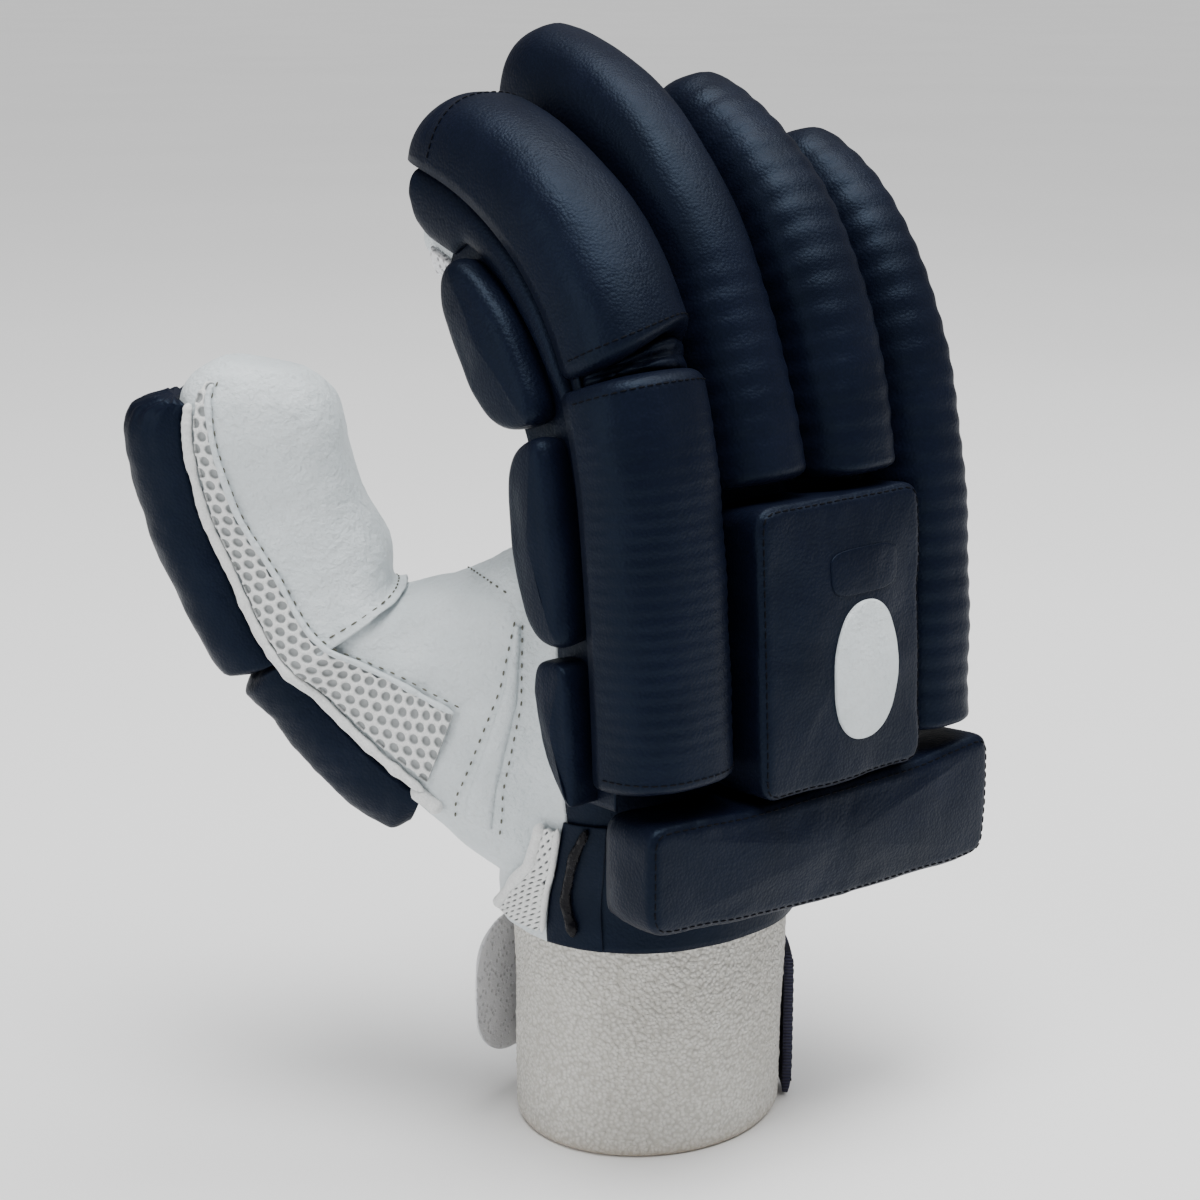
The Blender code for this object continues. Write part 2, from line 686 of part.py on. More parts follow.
def make_index_side(navy):
    """Three pads and the raised strip along the thumb side of the index finger."""
    def on_side(s, across, out):
        return on_back("index", s * INDEX_LENGTH, INDEX_EDGE + ROLL_GAP - GAP - out, across * STRIP_WIDTH)

    for i, points in enumerate(SIDE_PADS):
        scaled = [(s * INDEX_LENGTH, d * STRIP_WIDTH) for s, d in points]

        def place(s, d, out):
            return on_side(s / INDEX_LENGTH, d / STRIP_WIDTH, out)

        pad("index_side_pad_%d" % (i + 1), rounded(scaled, 5.0, 2), SIDE_PAD_THICK, SIDE_PAD_ROUND, place, navy)
    rings = []
    for s, far in STRIP_ROWS:
        half = (STRIP_NEAR - far) / 2
        centre = (STRIP_NEAR + far) / 2
        bulge = min(STRIP_BULGE, 1.1 * half * STRIP_WIDTH)
        rings.append([on_side(s, centre + half * u, bulge * max(v, 0.0))
                      for u, v in superellipse(7, 2.3, 0.0, 180.0, closed=False)])
    loft("index_side_strip", rings, navy)


def hand_point(z, angle, out):
    """Point round the hand at a height: angle 180 is the index side, 270 its back."""
    rings = hand_rings(out)
    heights = [ring[0][2] for ring in rings]
    place = angle / 360.0 * HAND_SIDES
    a = int(place) % HAND_SIDES
    b = (a + 1) % HAND_SIDES
    share = place - int(place)
    columns = [[(1 - share) * ring[a][i] + share * ring[b][i] for ring in rings] for i in (0, 1)]
    return (float(np.interp(z, heights, columns[0])), float(np.interp(z, heights, columns[1])), z)


# Mesh patch at the wrist: height as a share of the wrist pad's, and its edges in degrees round the hand
WRIST_MESH_ROWS = ((0.00, 160.0, 188.0), (0.25, 173.0, 190.0), (0.60, 183.0, 191.0), (0.95, 184.0, 190.0))


def make_wrist(mesh_white, black):
    """Mesh patch on the index side of the wrist and the glossy binding beside it."""
    low = HAND_BOTTOM + 3.0
    lift = MESH_LIFT + GAP
    grids = []
    for out in (lift + MESH_WALL, lift):
        grids.append([[hand_point(low + rise * WRIST_PAD_HEIGHT, a + (b - a) * t, out) for t in (0.0, 0.35, 0.7, 1.0)]
                      for rise, a, b in WRIST_MESH_ROWS])
    panel("wrist_mesh", grids[0], grids[1], mesh_white)
    rings = []
    for rise, angle in ((0.10, 199.0), (0.35, 196.5), (0.65, 197.0), (0.95, 201.0)):
        centre = np.array(hand_point(low + rise * WRIST_PAD_HEIGHT, angle, GAP + BINDING / 2))
        rings.append([tuple(centre + BINDING / 2 * np.array((u, v, 0.0))) for u, v in superellipse(8, 2.0)])
    loft("wrist_binding", rings, black)


def thumb_skin(row):
    """How far the outside of the leather lies over the thumb's form: it steps up at the stall's hem."""
    return float(np.interp(row, (HEM_ROW - 2 * HEM_LAP, HEM_ROW - HEM_LAP), (0.0, THUMB_WALL + GAP)))


def thumb_pad(name, rows, thick, mat):
    """A stuffed pad along the thumb's back, bedded on its curve; rows pair a place with a share of thickness."""
    rings = []
    for row, share in rows:
        centre, long_axis, side, half_long, half_side = thumb_frame(row, thumb_skin(row) + PAD_BED)
        crown = superellipse(9, 2.6, 0.0, 180.0, closed=False)
        points = [(THUMB_PAD_SPREAD * u, max(v, 0.0) * thick * share) for u, v in crown]
        points += [(-0.5 * THUMB_PAD_SPREAD, 0.0), (0.0, 0.0), (0.5 * THUMB_PAD_SPREAD, 0.0)]
        ring = []
        for across, out in points:
            bed = (1.0 - abs(across) ** THUMB_POWER) ** (1 / THUMB_POWER)
            ring.append(tuple(centre + long_axis * (half_long * bed + out) + side * half_side * across))
        rings.append(ring)
    loft(name, rings, mat)


def make_thumb(leather, mesh_white, navy, piping):
    """Leather stall of the thumb, its mesh side, its two back pads and the piping between."""
    hem = HEM_ROW - HEM_LAP
    rows = [hem, 4, 4.5, 5, 6, 7, 8, 9, 10]
    grow = THUMB_WALL + GAP
    tube("thumb_stall", thumb_rings(rows, grow), thumb_rings(rows[:-1] + [THUMB_CAP_ROW], GAP), leather, capped=True)

    def mesh_edge(row):
        return np.interp(row, *MESH_EDGE)

    steps = (0.0, 0.33, 0.67, 1.0)
    mesh_rows = (MESH_FOOT_ROW, 3, 3.5, hem, 4, 4.5, 5, 6, 7, 8, MESH_END_ROW)
    grids = []
    for lift in (GAP + MESH_WALL, GAP):
        grids.append([[thumb_point(r, MESH_START + (mesh_edge(r) - MESH_START) * t, thumb_skin(r) + lift)
                       for t in steps] for r in mesh_rows])
    panel("thumb_mesh", grids[0], grids[1], mesh_white)
    tip = ((3.98, 0.6), (4.08, 0.95), (4.5, 1.0), (5, 1.0), (6, 1.0), (7, 1.0), (7.5, 0.85), (7.8, 0.4))
    base = ((MESH_FOOT_ROW, 0.4), (2.3, 0.85), (2.6, 1.0), (3, 1.0), (3.5, 1.0), (hem, 0.95), (3.92, 0.6))
    thumb_pad("thumb_pad_tip", tip, THUMB_PAD_THICK, navy)
    thumb_pad("thumb_pad_base", base, THUMB_BASE_THICK, navy)
    rings = []
    for row in (MESH_FOOT_ROW, 3, 3.5, hem, 4, 4.5, 5, 6, 7, PIPING_END_ROW):
        centre = np.array(thumb_point(row, PIPING_ANGLE, thumb_skin(row) + GAP + PIPING / 2))
        _, long_axis, side, _, _ = thumb_frame(row)
        rings.append([tuple(centre + PIPING / 2 * (u * long_axis + v * side)) for u, v in superellipse(6, 2.0)])
    loft("thumb_piping", rings, piping)


def place_on_floor():
    """Moves the model so that its origin is under its middle, at the foot of the cuff."""
    graph = bpy.context.evaluated_depsgraph_get()
    low = np.full(3, 1e9)
    high = np.full(3, -1e9)
    for obj in bpy.data.objects:
        if obj.type != "MESH" or obj.hide_render:
            continue
        mesh = obj.evaluated_get(graph).to_mesh()
        points = np.empty(len(mesh.vertices) * 3)
        mesh.vertices.foreach_get("co", points)
        points = points.reshape(-1, 3)
        low = np.minimum(low, points.min(axis=0))
        high = np.maximum(high, points.max(axis=0))
        obj.evaluated_get(graph).to_mesh_clear()
    shift = ((low[0] + high[0]) / 2, (low[1] + high[1]) / 2, low[2])
    for obj in bpy.data.objects:
        obj.location = (-shift[0], -shift[1], -shift[2])


def main():
    for obj in list(bpy.data.objects):
        bpy.data.objects.remove(obj, do_unlink=True)
    leather = material("white_leather", (0.80, 0.83, 0.83), 0.5)
    mesh_white = material("white_mesh", (0.80, 0.80, 0.78), 0.8)
    navy = material("navy_leather", (0.012, 0.018, 0.05), 0.42)
    terry = material("terry", (0.72, 0.70, 0.65), 0.95)
    grey = material("grey_knit", (0.38, 0.38, 0.40), 0.85)
    strap = material("strap_navy", (0.02, 0.02, 0.07), 0.7)
    piping = material("white_piping", (0.8, 0.8, 0.8), 0.7)
    black = material("black_binding", (0.01, 0.01, 0.012), 0.2)
    make_cuff(terry, strap, grey)
    make_hand(leather, navy)
    make_stalls(leather, mesh_white)
    make_rolls(navy)
    make_back_pads(navy, leather)
    make_index_side(navy)
    make_wrist(mesh_white, black)
    make_thumb(leather, mesh_white, navy, piping)
    place_on_floor()


main()
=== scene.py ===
"""Cricket batting glove: leather, padding, mesh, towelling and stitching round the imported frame.

Sizes are millimetres in the glove's own axes, as in the construction: +X to the little finger,
-Y out of the back of the hand, +Y out of the palm, +Z to the finger tips, and the cuff's rim at Z 0.
"""
import json
import math

import bmesh
import bpy
import numpy as np
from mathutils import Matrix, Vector
from mathutils.bvhtree import BVHTree
from mathutils.kdtree import KDTree


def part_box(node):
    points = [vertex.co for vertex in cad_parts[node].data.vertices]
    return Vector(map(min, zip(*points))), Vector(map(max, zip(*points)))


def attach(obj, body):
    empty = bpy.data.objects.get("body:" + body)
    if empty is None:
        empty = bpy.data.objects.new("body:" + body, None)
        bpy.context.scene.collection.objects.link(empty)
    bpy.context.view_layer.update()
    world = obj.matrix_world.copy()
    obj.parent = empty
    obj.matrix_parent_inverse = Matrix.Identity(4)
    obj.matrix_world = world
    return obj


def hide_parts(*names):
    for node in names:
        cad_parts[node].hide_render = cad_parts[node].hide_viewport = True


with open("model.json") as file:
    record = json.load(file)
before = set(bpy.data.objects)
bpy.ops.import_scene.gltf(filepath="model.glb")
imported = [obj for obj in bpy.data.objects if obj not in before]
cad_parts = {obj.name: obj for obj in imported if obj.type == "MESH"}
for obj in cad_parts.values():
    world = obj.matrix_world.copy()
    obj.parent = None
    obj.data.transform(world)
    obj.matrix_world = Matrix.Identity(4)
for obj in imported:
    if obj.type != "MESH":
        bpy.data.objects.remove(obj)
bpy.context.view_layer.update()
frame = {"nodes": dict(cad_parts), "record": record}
MM = 0.001
GAP = 0.3

# Cuff and strap
CUFF_X, CUFF_Y = -9.0, 9.0
CUFF_HALF_WIDTH, CUFF_HALF_DEPTH = 35.5, 31.8
CUFF_HEIGHT, CUFF_WALL, CUFF_FLARE, CUFF_SLIT, CUFF_EASE = 64.0, 3.0, 1.0, 6.0, 0.9
STRAP_HEIGHT, STRAP_RISE, STRAP_CLIMB, STRAP_THICK = 40.0, 1.0, 10.0, 2.4
STRAP_START, STRAP_JOIN = -40.0, 96.0
TAB_REACH, TAB_HEIGHT, TAB_CURL, TAB_CORNER = 32.0, 38.0, 0.10, 14.0

# Hand
HAND_BOTTOM, ROLL_FOOT, HAND_TOP = 57.0, 102.0, 162.0
BACK_Y, HAND_DEPTH, HAND_WALL, SIDE_WALL_Y = -26.0, 31.0, 1.6, -6.4
INDEX_EDGE, MIDDLE_EDGE, RING_EDGE, LITTLE_EDGE, HAND_EDGE = -52.0, -22.0, 4.5, 32.5, 58.0

# Fingers
LENGTH = {"index": 171.0, "middle": 191.5, "ring": 169.0, "little": 149.0}
EDGES = {
    "index": (INDEX_EDGE, MIDDLE_EDGE),
    "middle": (MIDDLE_EDGE, RING_EDGE),
    "ring": (RING_EDGE, LITTLE_EDGE),
    "little": (LITTLE_EDGE, HAND_EDGE),
}
BEND = {
    "index": (2.0, 4.4, 6.8, 25.0, 54.0, 78.0),
    "middle": (2.0, 2.5, 15.7, 27.5, 51.0, 84.0),
    "ring": (2.0, 2.3, 6.0, 20.0, 46.0, 73.0),
    "little": (2.0, 3.5, 7.0, 16.0, 38.0, 72.0),
}
GUIDE_STEPS = 240
STALL_FOOT, STALL_DEPTH, STALL_WALL, STALL_INSET, STALL_POWER = 60.8, 25.0, 1.6, 0.6, 3.0
ROLL_THICK, ROLL_GAP, ROLL_POWER = 19.0, 0.5, 2.6
KNUCKLE_S, INDEX_GAP_S, INDEX_GAP = 68.0, 96.0, 2.5
BLOCK_FOOT, BLOCK_OVER = 3.5, 5.0

# Pads on the back of the hand
HAND_PAD_THICK, HAND_PAD_DROP, HAND_PAD_HEIGHT = 20.0, 3.7, 69.5
WRIST_PAD_HEIGHT, WRIST_PAD_DROP, WRIST_PAD_HORN, WRIST_PAD_THICK, WRIST_PAD_TAPER = 31.0, 4.0, 2.5, 17.0, 6.0
WRIST_PAD_LEFT, WRIST_PAD_RIGHT = -54.5, 60.5
BADGE_HEIGHT, BADGE_WIDTH, BADGE_THICK, BADGE_X, BADGE_Z = 34.0, 22.0, 1.2, 10.5, 126.0

# Thumb
THUMB_WIDTH, THUMB_DEPTH, THUMB_WALL = 37.0, 32.0, 1.6
THUMB_PAD_THICK, THUMB_BASE_THICK, THUMB_PAD_SPREAD, PAD_BED = 13.5, 11.5, 0.72, 0.6
PIPING, PIPING_ANGLE, MESH_START, MESH_FOOT_ROW = 2.2, 47.0, 53.0, 2.15
HEM_ROW, HEM_LAP = 4.1, 0.3
MESH_EDGE = ((2.2, 4.0, 6.0, 8.6), (86.0, 86.0, 74.0, 62.0))
THUMB_ROOT = (-22.0, -5.0, 107.0)
THUMB_REACH = (-57.0, 82.0, 88.0)
THUMB_BACK = (-0.77, 0.64, 0.0)
THUMB_SIDE = (-0.64, -0.77, 0.0)
THUMB_POWER = 2.9
MESH_TOP_ROW, MESH_LIFT, RIM_ROUND, HAND_VOXEL = 8.8, 0.8, 2.6, 1.6
WRIST_FLAP_END = 214.0
# Wrist: share of the pad's height, then degrees round the hand of the binding, and of the mesh's two edges
BINDING_ROWS = ((0.0, 203.0), (0.10, 202.5), (0.35, 200.0), (0.65, 200.5), (0.95, 204.5), (1.0, 205.5))
WRIST_MESH_ROWS = ((0.00, 160.0, 188.0), (0.25, 173.0, 190.0), (0.60, 183.0, 191.0), (0.95, 184.0, 190.0))
# Hand: share of the way up, then of the way from the cuff's centre, width and depth to the hand's, and squareness
HAND_SECTIONS = (
    (0.00, 0.00, 0.00, 0.00, 2.1),
    (0.08, 0.02, 0.05, 0.00, 2.1),
    (0.22, 0.20, 0.25, 0.20, 2.3),
    (0.40, 0.45, 0.50, 0.55, 2.7),
    (0.62, 0.75, 0.80, 0.90, 3.2),
    (0.82, 0.92, 0.95, 1.04, 3.8),
    (1.00, 1.00, 1.00, 1.15, 4.2),
)

# Side of the index finger
SIDE_PAD_THICK, STRIP_WIDTH, STRIP_BULGE, STRIP_NEAR, BINDING = 10.0, 16.0, 3.2, -0.04, 2.6

# Camera: turn and rise in degrees, distance, size of a pixel at the target, and the target
VIEW_TURN, VIEW_RISE, VIEW_DISTANCE, VIEW_PIXEL = -40.0, 15.0, 600.0, 0.24
VIEW_TARGET = (-33.2, 0.0, 142.0)
PHOTO_SIZE = 1200.0

# What the lights face, in metres
LIT_POINT = (0, 0, 0.13)

# The frame's own axes start under the middle of the glove, so the cuff's box gives the shift
cuff_low, cuff_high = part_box("cuff")
SHIFT = np.array(((cuff_low.x + cuff_high.x) / 2 / MM - CUFF_X,
                  cuff_low.y / MM + CUFF_HALF_DEPTH + CUFF_FLARE - CUFF_Y, cuff_low.z / MM))


def settle(points):
    """Points of the glove's own axes in metres of the frame."""
    return (np.asarray(points, float) + SHIFT) * MM


def eased(x, knots, values):
    """Smooth curve through a short table, with no overshoot; values may have columns."""
    knots = np.asarray(knots, float)
    values = np.asarray(values, float)
    flat = values.ndim == 1
    if flat:
        values = values[:, None]
    steps = np.diff(knots)[:, None]
    slopes = np.diff(values, axis=0) / steps
    inner = slopes[:-1] * slopes[1:]
    total = slopes[:-1] + slopes[1:]
    tangents = np.empty_like(values)
    tangents[1:-1] = np.where(inner > 0, 2 * inner / np.where(np.abs(total) < 1e-12, 1.0, total), 0.0)
    tangents[0] = slopes[0]
    tangents[-1] = slopes[-1]
    x = np.clip(np.asarray(x, float), knots[0], knots[-1])
    k = np.clip(np.searchsorted(knots, x, side="right") - 1, 0, len(knots) - 2)
    h = steps[k]
    t = ((x - knots[k])[..., None]) / h
    out = ((1 + 2 * t) * (1 - t) ** 2 * values[k] + t * (1 - t) ** 2 * h * tangents[k]
           + t * t * (3 - 2 * t) * values[k + 1] + t * t * (t - 1) * h * tangents[k + 1])
    return out[..., 0] if flat else out


def guide_table(finger):
    shares = np.linspace(0.0, 1.0, GUIDE_STEPS)
    bend = np.radians(np.interp(shares, np.linspace(0.0, 1.0, len(BEND[finger])), BEND[finger]))
    for _ in range(6):
        bend[1:-1] = (bend[:-2] + 2 * bend[1:-1] + bend[2:]) / 4
    step = LENGTH[finger] / (GUIDE_STEPS - 1)
    y = BACK_Y + np.concatenate([[0.0], np.cumsum(np.sin((bend[1:] + bend[:-1]) / 2) * step)])
    z = ROLL_FOOT + np.concatenate([[0.0], np.cumsum(np.cos((bend[1:] + bend[:-1]) / 2) * step)])
    for _ in range(40):
        bend[1:-1] = (bend[:-2] + 2 * bend[1:-1] + bend[2:]) / 4
    return shares * LENGTH[finger], y, z, bend


GUIDES = {finger: guide_table(finger) for finger in BEND}


def on_back(finger, s, x, out):
    """Points at s along a finger, at x across, lifted by out from its back surface."""
    s, x, out = np.broadcast_arrays(np.asarray(s, float), np.asarray(x, float), np.asarray(out, float))
    along, y, z, bend = GUIDES[finger]
    angle = np.interp(s, along, bend)
    over = s - np.clip(s, 0.0, LENGTH[finger])
    py = np.interp(s, along, y) + over * np.sin(angle)
    pz = np.interp(s, along, z) + over * np.cos(angle)
    return np.stack([x, py - np.cos(angle) * out, pz + np.sin(angle) * out], axis=-1)


def squared(turns, power):
    """Unit points of a squared circle at turns in degrees, as columns."""
    c = np.cos(np.radians(turns))
    s = np.sin(np.radians(turns))
    return np.sign(c) * np.abs(c) ** (2 / power), np.sign(s) * np.abs(s) ** (2 / power)


def ripple(points, wave, seed, waves=14):
    """Soft random relief about -1 to 1, from a fixed set of plane waves near one wavelength."""
    rng = np.random.default_rng(seed)
    points = np.asarray(points, float)
    total = np.zeros(points.shape[:-1])
    for _ in range(waves):
        way = rng.normal(size=3)
        way /= np.linalg.norm(way)
        pitch = wave * rng.uniform(0.65, 1.5)
        total += np.sin(points @ way * (2 * math.pi / pitch) + rng.uniform(0, 2 * math.pi))
    return total / math.sqrt(waves)


# Materials


def new_material(name, colour, roughness):
    mat = bpy.data.materials.new(name)
    mat.use_nodes = True
    tree = mat.node_tree
    shader = tree.nodes["Principled BSDF"]
    shader.inputs["Base Color"].default_value = (*colour, 1.0)
    shader.inputs["Roughness"].default_value = roughness
    place = tree.nodes.new("ShaderNodeTexCoord")
    turn = tree.nodes.new("ShaderNodeMapping")
    turn.inputs["Scale"].default_value = (1 / MM, 1 / MM, 1 / MM)
    tree.links.new(place.outputs["Object"], turn.inputs["Vector"])
    return mat, tree, shader, turn.outputs["Vector"]


def noise_node(tree, where, pitch, detail=2.0, rough=0.5):
    node = tree.nodes.new("ShaderNodeTexNoise")
    node.inputs["Scale"].default_value = 1.0 / pitch
    node.inputs["Detail"].default_value = detail
    node.inputs["Roughness"].default_value = rough
    tree.links.new(where, node.inputs["Vector"])
    return node.outputs["Fac"]


def cell_node(tree, where, pitch, feature="F1"):
    node = tree.nodes.new("ShaderNodeTexVoronoi")
    node.feature = feature
    node.inputs["Scale"].default_value = 1.0 / pitch
    tree.links.new(where, node.inputs["Vector"])
    return node.outputs["Distance"]


def ramp_node(tree, value, stops):
    node = tree.nodes.new("ShaderNodeValToRGB")
    ramp = node.color_ramp
    while len(ramp.elements) < len(stops):
        ramp.elements.new(0.5)
    for element, (place, colour) in zip(ramp.elements, stops):
        element.position = place
        element.color = (*colour, 1.0)
    tree.links.new(value, node.inputs["Fac"])
    return node.outputs["Color"]


def range_node(tree, value, low, high, to_low, to_high):
    node = tree.nodes.new("ShaderNodeMapRange")
    for name, number in (("From Min", low), ("From Max", high), ("To Min", to_low), ("To Max", to_high)):
        node.inputs[name].default_value = number
    tree.links.new(value, node.inputs["Value"])
    return node.outputs["Result"]


# The mix node's sockets for colours
MIX_A, MIX_B, MIX_RESULT = 6, 7, 2


def mix_node(tree, share, a, b):
    node = tree.nodes.new("ShaderNodeMix")
    node.data_type = "RGBA"
    tree.links.new(share, node.inputs["Factor"])
    for socket, value in ((node.inputs[MIX_A], a), (node.inputs[MIX_B], b)):
        if isinstance(value, tuple):
            socket.default_value = (*value, 1.0)
        else:
            tree.links.new(value, socket)
    return node.outputs[MIX_RESULT]


def bump_node(tree, shader, height, depth, after=None):
    node = tree.nodes.new("ShaderNodeBump")
    node.inputs["Strength"].default_value = 1.0
    node.inputs["Distance"].default_value = depth * MM
    tree.links.new(height, node.inputs["Height"])
    if after is not None:
        tree.links.new(after, node.inputs["Normal"])
    tree.links.new(node.outputs["Normal"], shader.inputs["Normal"])
    return node.outputs["Normal"]


def attribute_node(tree, name):
    node = tree.nodes.new("ShaderNodeAttribute")
    node.attribute_name = name
    return node.outputs["Fac"]


def navy_leather():
    mat, tree, shader, where = new_material("navy_leather", (0.008, 0.011, 0.023), 0.42)
    shade = noise_node(tree, where, 22.0, 3.0)
    colour = ramp_node(tree, shade, ((0.3, (0.0026, 0.0038, 0.0100)), (0.7, (0.0042, 0.0060, 0.0158))))
    grain = cell_node(tree, where, 0.75)
    tree.links.new(mix_node(tree, range_node(tree, grain, 0.25, 0.7, 0.0, 0.35), colour, (0.002, 0.003, 0.007)),
                   shader.inputs["Base Color"])
    dull = range_node(tree, noise_node(tree, where, 9.0, 4.0), 0.3, 0.7, 0.40, 0.50)
    tree.links.new(dull, shader.inputs["Roughness"])
    fine = bump_node(tree, shader, grain, -0.075)
    bump_node(tree, shader, noise_node(tree, where, 3.2, 4.0, 0.6), 0.14, fine)
    shader.inputs["Specular IOR Level"].default_value = 0.14
    shader.inputs["Specular Tint"].default_value = (0.50, 0.72, 1.0, 1.0)
    return mat


def white_leather():
    mat, tree, shader, where = new_material("white_leather", (0.70, 0.755, 0.785), 0.5)
    shade = noise_node(tree, where, 14.0, 4.0)
    colour = ramp_node(tree, shade, ((0.3, (0.63, 0.69, 0.715)), (0.7, (0.71, 0.765, 0.79))))
    grain = cell_node(tree, where, 1.1, "SMOOTH_F1")
    tree.links.new(mix_node(tree, range_node(tree, grain, 0.35, 0.8, 0.0, 0.22), colour, (0.55, 0.585, 0.585)),
                   shader.inputs["Base Color"])
    tree.links.new(range_node(tree, noise_node(tree, where, 6.0), 0.3, 0.7, 0.44, 0.56), shader.inputs["Roughness"])
    fine = bump_node(tree, shader, grain, -0.22)
    creased = noise_node(tree, where, 3.6, 6.0, 0.66)
    bump_node(tree, shader, creased, 1.3, fine)
    shader.inputs["Subsurface Weight"].default_value = 0.04
    shader.inputs["Subsurface Radius"].default_value = (0.001, 0.001, 0.001)
    return mat


def air_mesh():
    """White knitted mesh with painted shade in its holes: a point attribute, 1 at the bottom of the holes, mixes the
    yarn's colour towards grey there.
    """
    mat, tree, shader, where = new_material("white_mesh", (0.80, 0.80, 0.79), 0.8)
    yarn = noise_node(tree, where, 0.5, 3.0, 0.7)
    top = ramp_node(tree, yarn, ((0.3, (0.66, 0.67, 0.67)), (0.65, (0.84, 0.85, 0.84))))
    # painted shade: the bottoms of the holes take a grey colour
    tree.links.new(mix_node(tree, attribute_node(tree, "pit"), top, (0.36, 0.38, 0.385)), shader.inputs["Base Color"])
    bump_node(tree, shader, yarn, 0.25)
    shader.inputs["Sheen Weight"].default_value = 0.15
    return mat


def terry_cloth():
    mat, tree, shader, where = new_material("terry", (0.70, 0.68, 0.63), 0.95)
    loops = cell_node(tree, where, 1.05)
    soft = noise_node(tree, where, 18.0, 4.0)
    base = ramp_node(tree, soft, ((0.3, (0.66, 0.64, 0.595)), (0.7, (0.76, 0.745, 0.70))))
    # painted shade: the hollows between the towelling's loops are mixed towards a dark brownish grey
    deep = mix_node(tree, range_node(tree, loops, 0.25, 0.7, 0.0, 0.62), base, (0.40, 0.38, 0.33))
    # painted shade: a brownish darkening along the cuff's bottom rim, standing for the shadow and brown bounce light of
    # the surface below it
    rim = range_node(tree, attribute_node(tree, "rim"), 0.0, 1.0, 0.0, 0.85)
    tree.links.new(mix_node(tree, rim, deep, (0.40, 0.30, 0.19)), shader.inputs["Base Color"])
    nubs = bump_node(tree, shader, loops, -0.75)
    bump_node(tree, shader, noise_node(tree, where, 0.35, 3.0, 0.7), 0.18, nubs)
    shader.inputs["Sheen Weight"].default_value = 0.3
    shader.inputs["Sheen Roughness"].default_value = 0.6
    return mat


def grey_knit():
    mat, tree, shader, where = new_material("grey_knit", (0.36, 0.36, 0.38), 0.85)
    shaded_pits = cell_node(tree, where, 1.6)
    shade = ramp_node(tree, noise_node(tree, where, 8.0, 3.0), ((0.3, (0.60, 0.60, 0.625)), (0.7, (0.74, 0.74, 0.765))))
    # painted shade: the middles of the knit's dents are mixed towards a darker grey
    tree.links.new(mix_node(tree, range_node(tree, shaded_pits, 0.1, 0.35, 0.5, 0.0), shade, (0.38, 0.38, 0.40)),
                   shader.inputs["Base Color"])
    dents = bump_node(tree, shader, range_node(tree, shaded_pits, 0.1, 0.45, 0.0, 1.0), 0.35)
    bump_node(tree, shader, noise_node(tree, where, 0.5, 3.0, 0.7), 0.15, dents)
    shader.inputs["Sheen Weight"].default_value = 0.25
    return mat


def white_knit():
    mat, tree, shader, where = new_material("white_knit", (0.74, 0.74, 0.75), 0.85)
    shaded_pits = cell_node(tree, where, 1.5)
    # painted shade: the middles of the knit's pits are mixed towards near black
    share = range_node(tree, shaded_pits, 0.12, 0.42, 0.85, 0.0)
    tree.links.new(mix_node(tree, share, (0.80, 0.80, 0.82), (0.22, 0.22, 0.23)), shader.inputs["Base Color"])
    bump_node(tree, shader, range_node(tree, shaded_pits, 0.1, 0.45, 0.0, 1.0), 0.4)
    return mat


def strap_weave():
    mat, tree, shader, where = new_material("strap_navy", (0.02, 0.02, 0.06), 0.75)
    wave = tree.nodes.new("ShaderNodeTexWave")
    wave.bands_direction = "Z"
    wave.inputs["Scale"].default_value = 0.35
    wave.inputs["Distortion"].default_value = 1.2
    wave.inputs["Detail"].default_value = 2.0
    tree.links.new(where, wave.inputs["Vector"])
    tree.links.new(ramp_node(tree, wave.outputs["Fac"], ((0.2, (0.006, 0.006, 0.022)), (0.8, (0.016, 0.016, 0.05)))),
                   shader.inputs["Base Color"])
    bump_node(tree, shader, wave.outputs["Fac"], 0.25)
    shader.inputs["Sheen Weight"].default_value = 0.04
    return mat


def woven_piping():
    mat, tree, shader, where = new_material("white_piping", (0.8, 0.8, 0.79), 0.75)
    yarn = noise_node(tree, where, 0.6, 3.0, 0.7)
    tree.links.new(ramp_node(tree, yarn, ((0.3, (0.64, 0.65, 0.65)), (0.7, (0.82, 0.83, 0.82)))),
                   shader.inputs["Base Color"])
    bump_node(tree, shader, yarn, 0.22)
    return mat


def gloss_binding():
    mat, tree, shader, where = new_material("black_binding", (0.004, 0.004, 0.006), 0.16)
    fold = noise_node(tree, where, 2.5, 3.0)
    tree.links.new(range_node(tree, fold, 0.3, 0.7, 0.12, 0.3), shader.inputs["Roughness"])
    bump_node(tree, shader, fold, 0.9)
    shader.inputs["Specular IOR Level"].default_value = 0.1
    return mat


def thread(name, colour):
    mat, tree, shader, where = new_material(name, colour, 0.7)
    twist = noise_node(tree, where, 0.3, 1.0)
    dark = tuple(0.6 * c for c in colour)
    tree.links.new(ramp_node(tree, twist, ((0.35, dark), (0.65, colour))), shader.inputs["Base Color"])
    bump_node(tree, shader, twist, 0.08)
    shader.inputs["Specular IOR Level"].default_value = 0.1
    return mat


NAVY = navy_leather()
WHITE = white_leather()
MESH = air_mesh()
TERRY = terry_cloth()
KNIT = grey_knit()
PATCH_KNIT = white_knit()
WEAVE = strap_weave()
CORD = woven_piping()
GLOSS = gloss_binding()
DARK_THREAD = thread("dark_thread", (0.0015, 0.002, 0.005))
GREY_THREAD = thread("grey_thread", (0.16, 0.16, 0.13))

# Meshes


def add(name, data):
    """A new object in the scene."""
    obj = bpy.data.objects.new(name, data)
    bpy.context.scene.collection.objects.link(obj)
    return obj


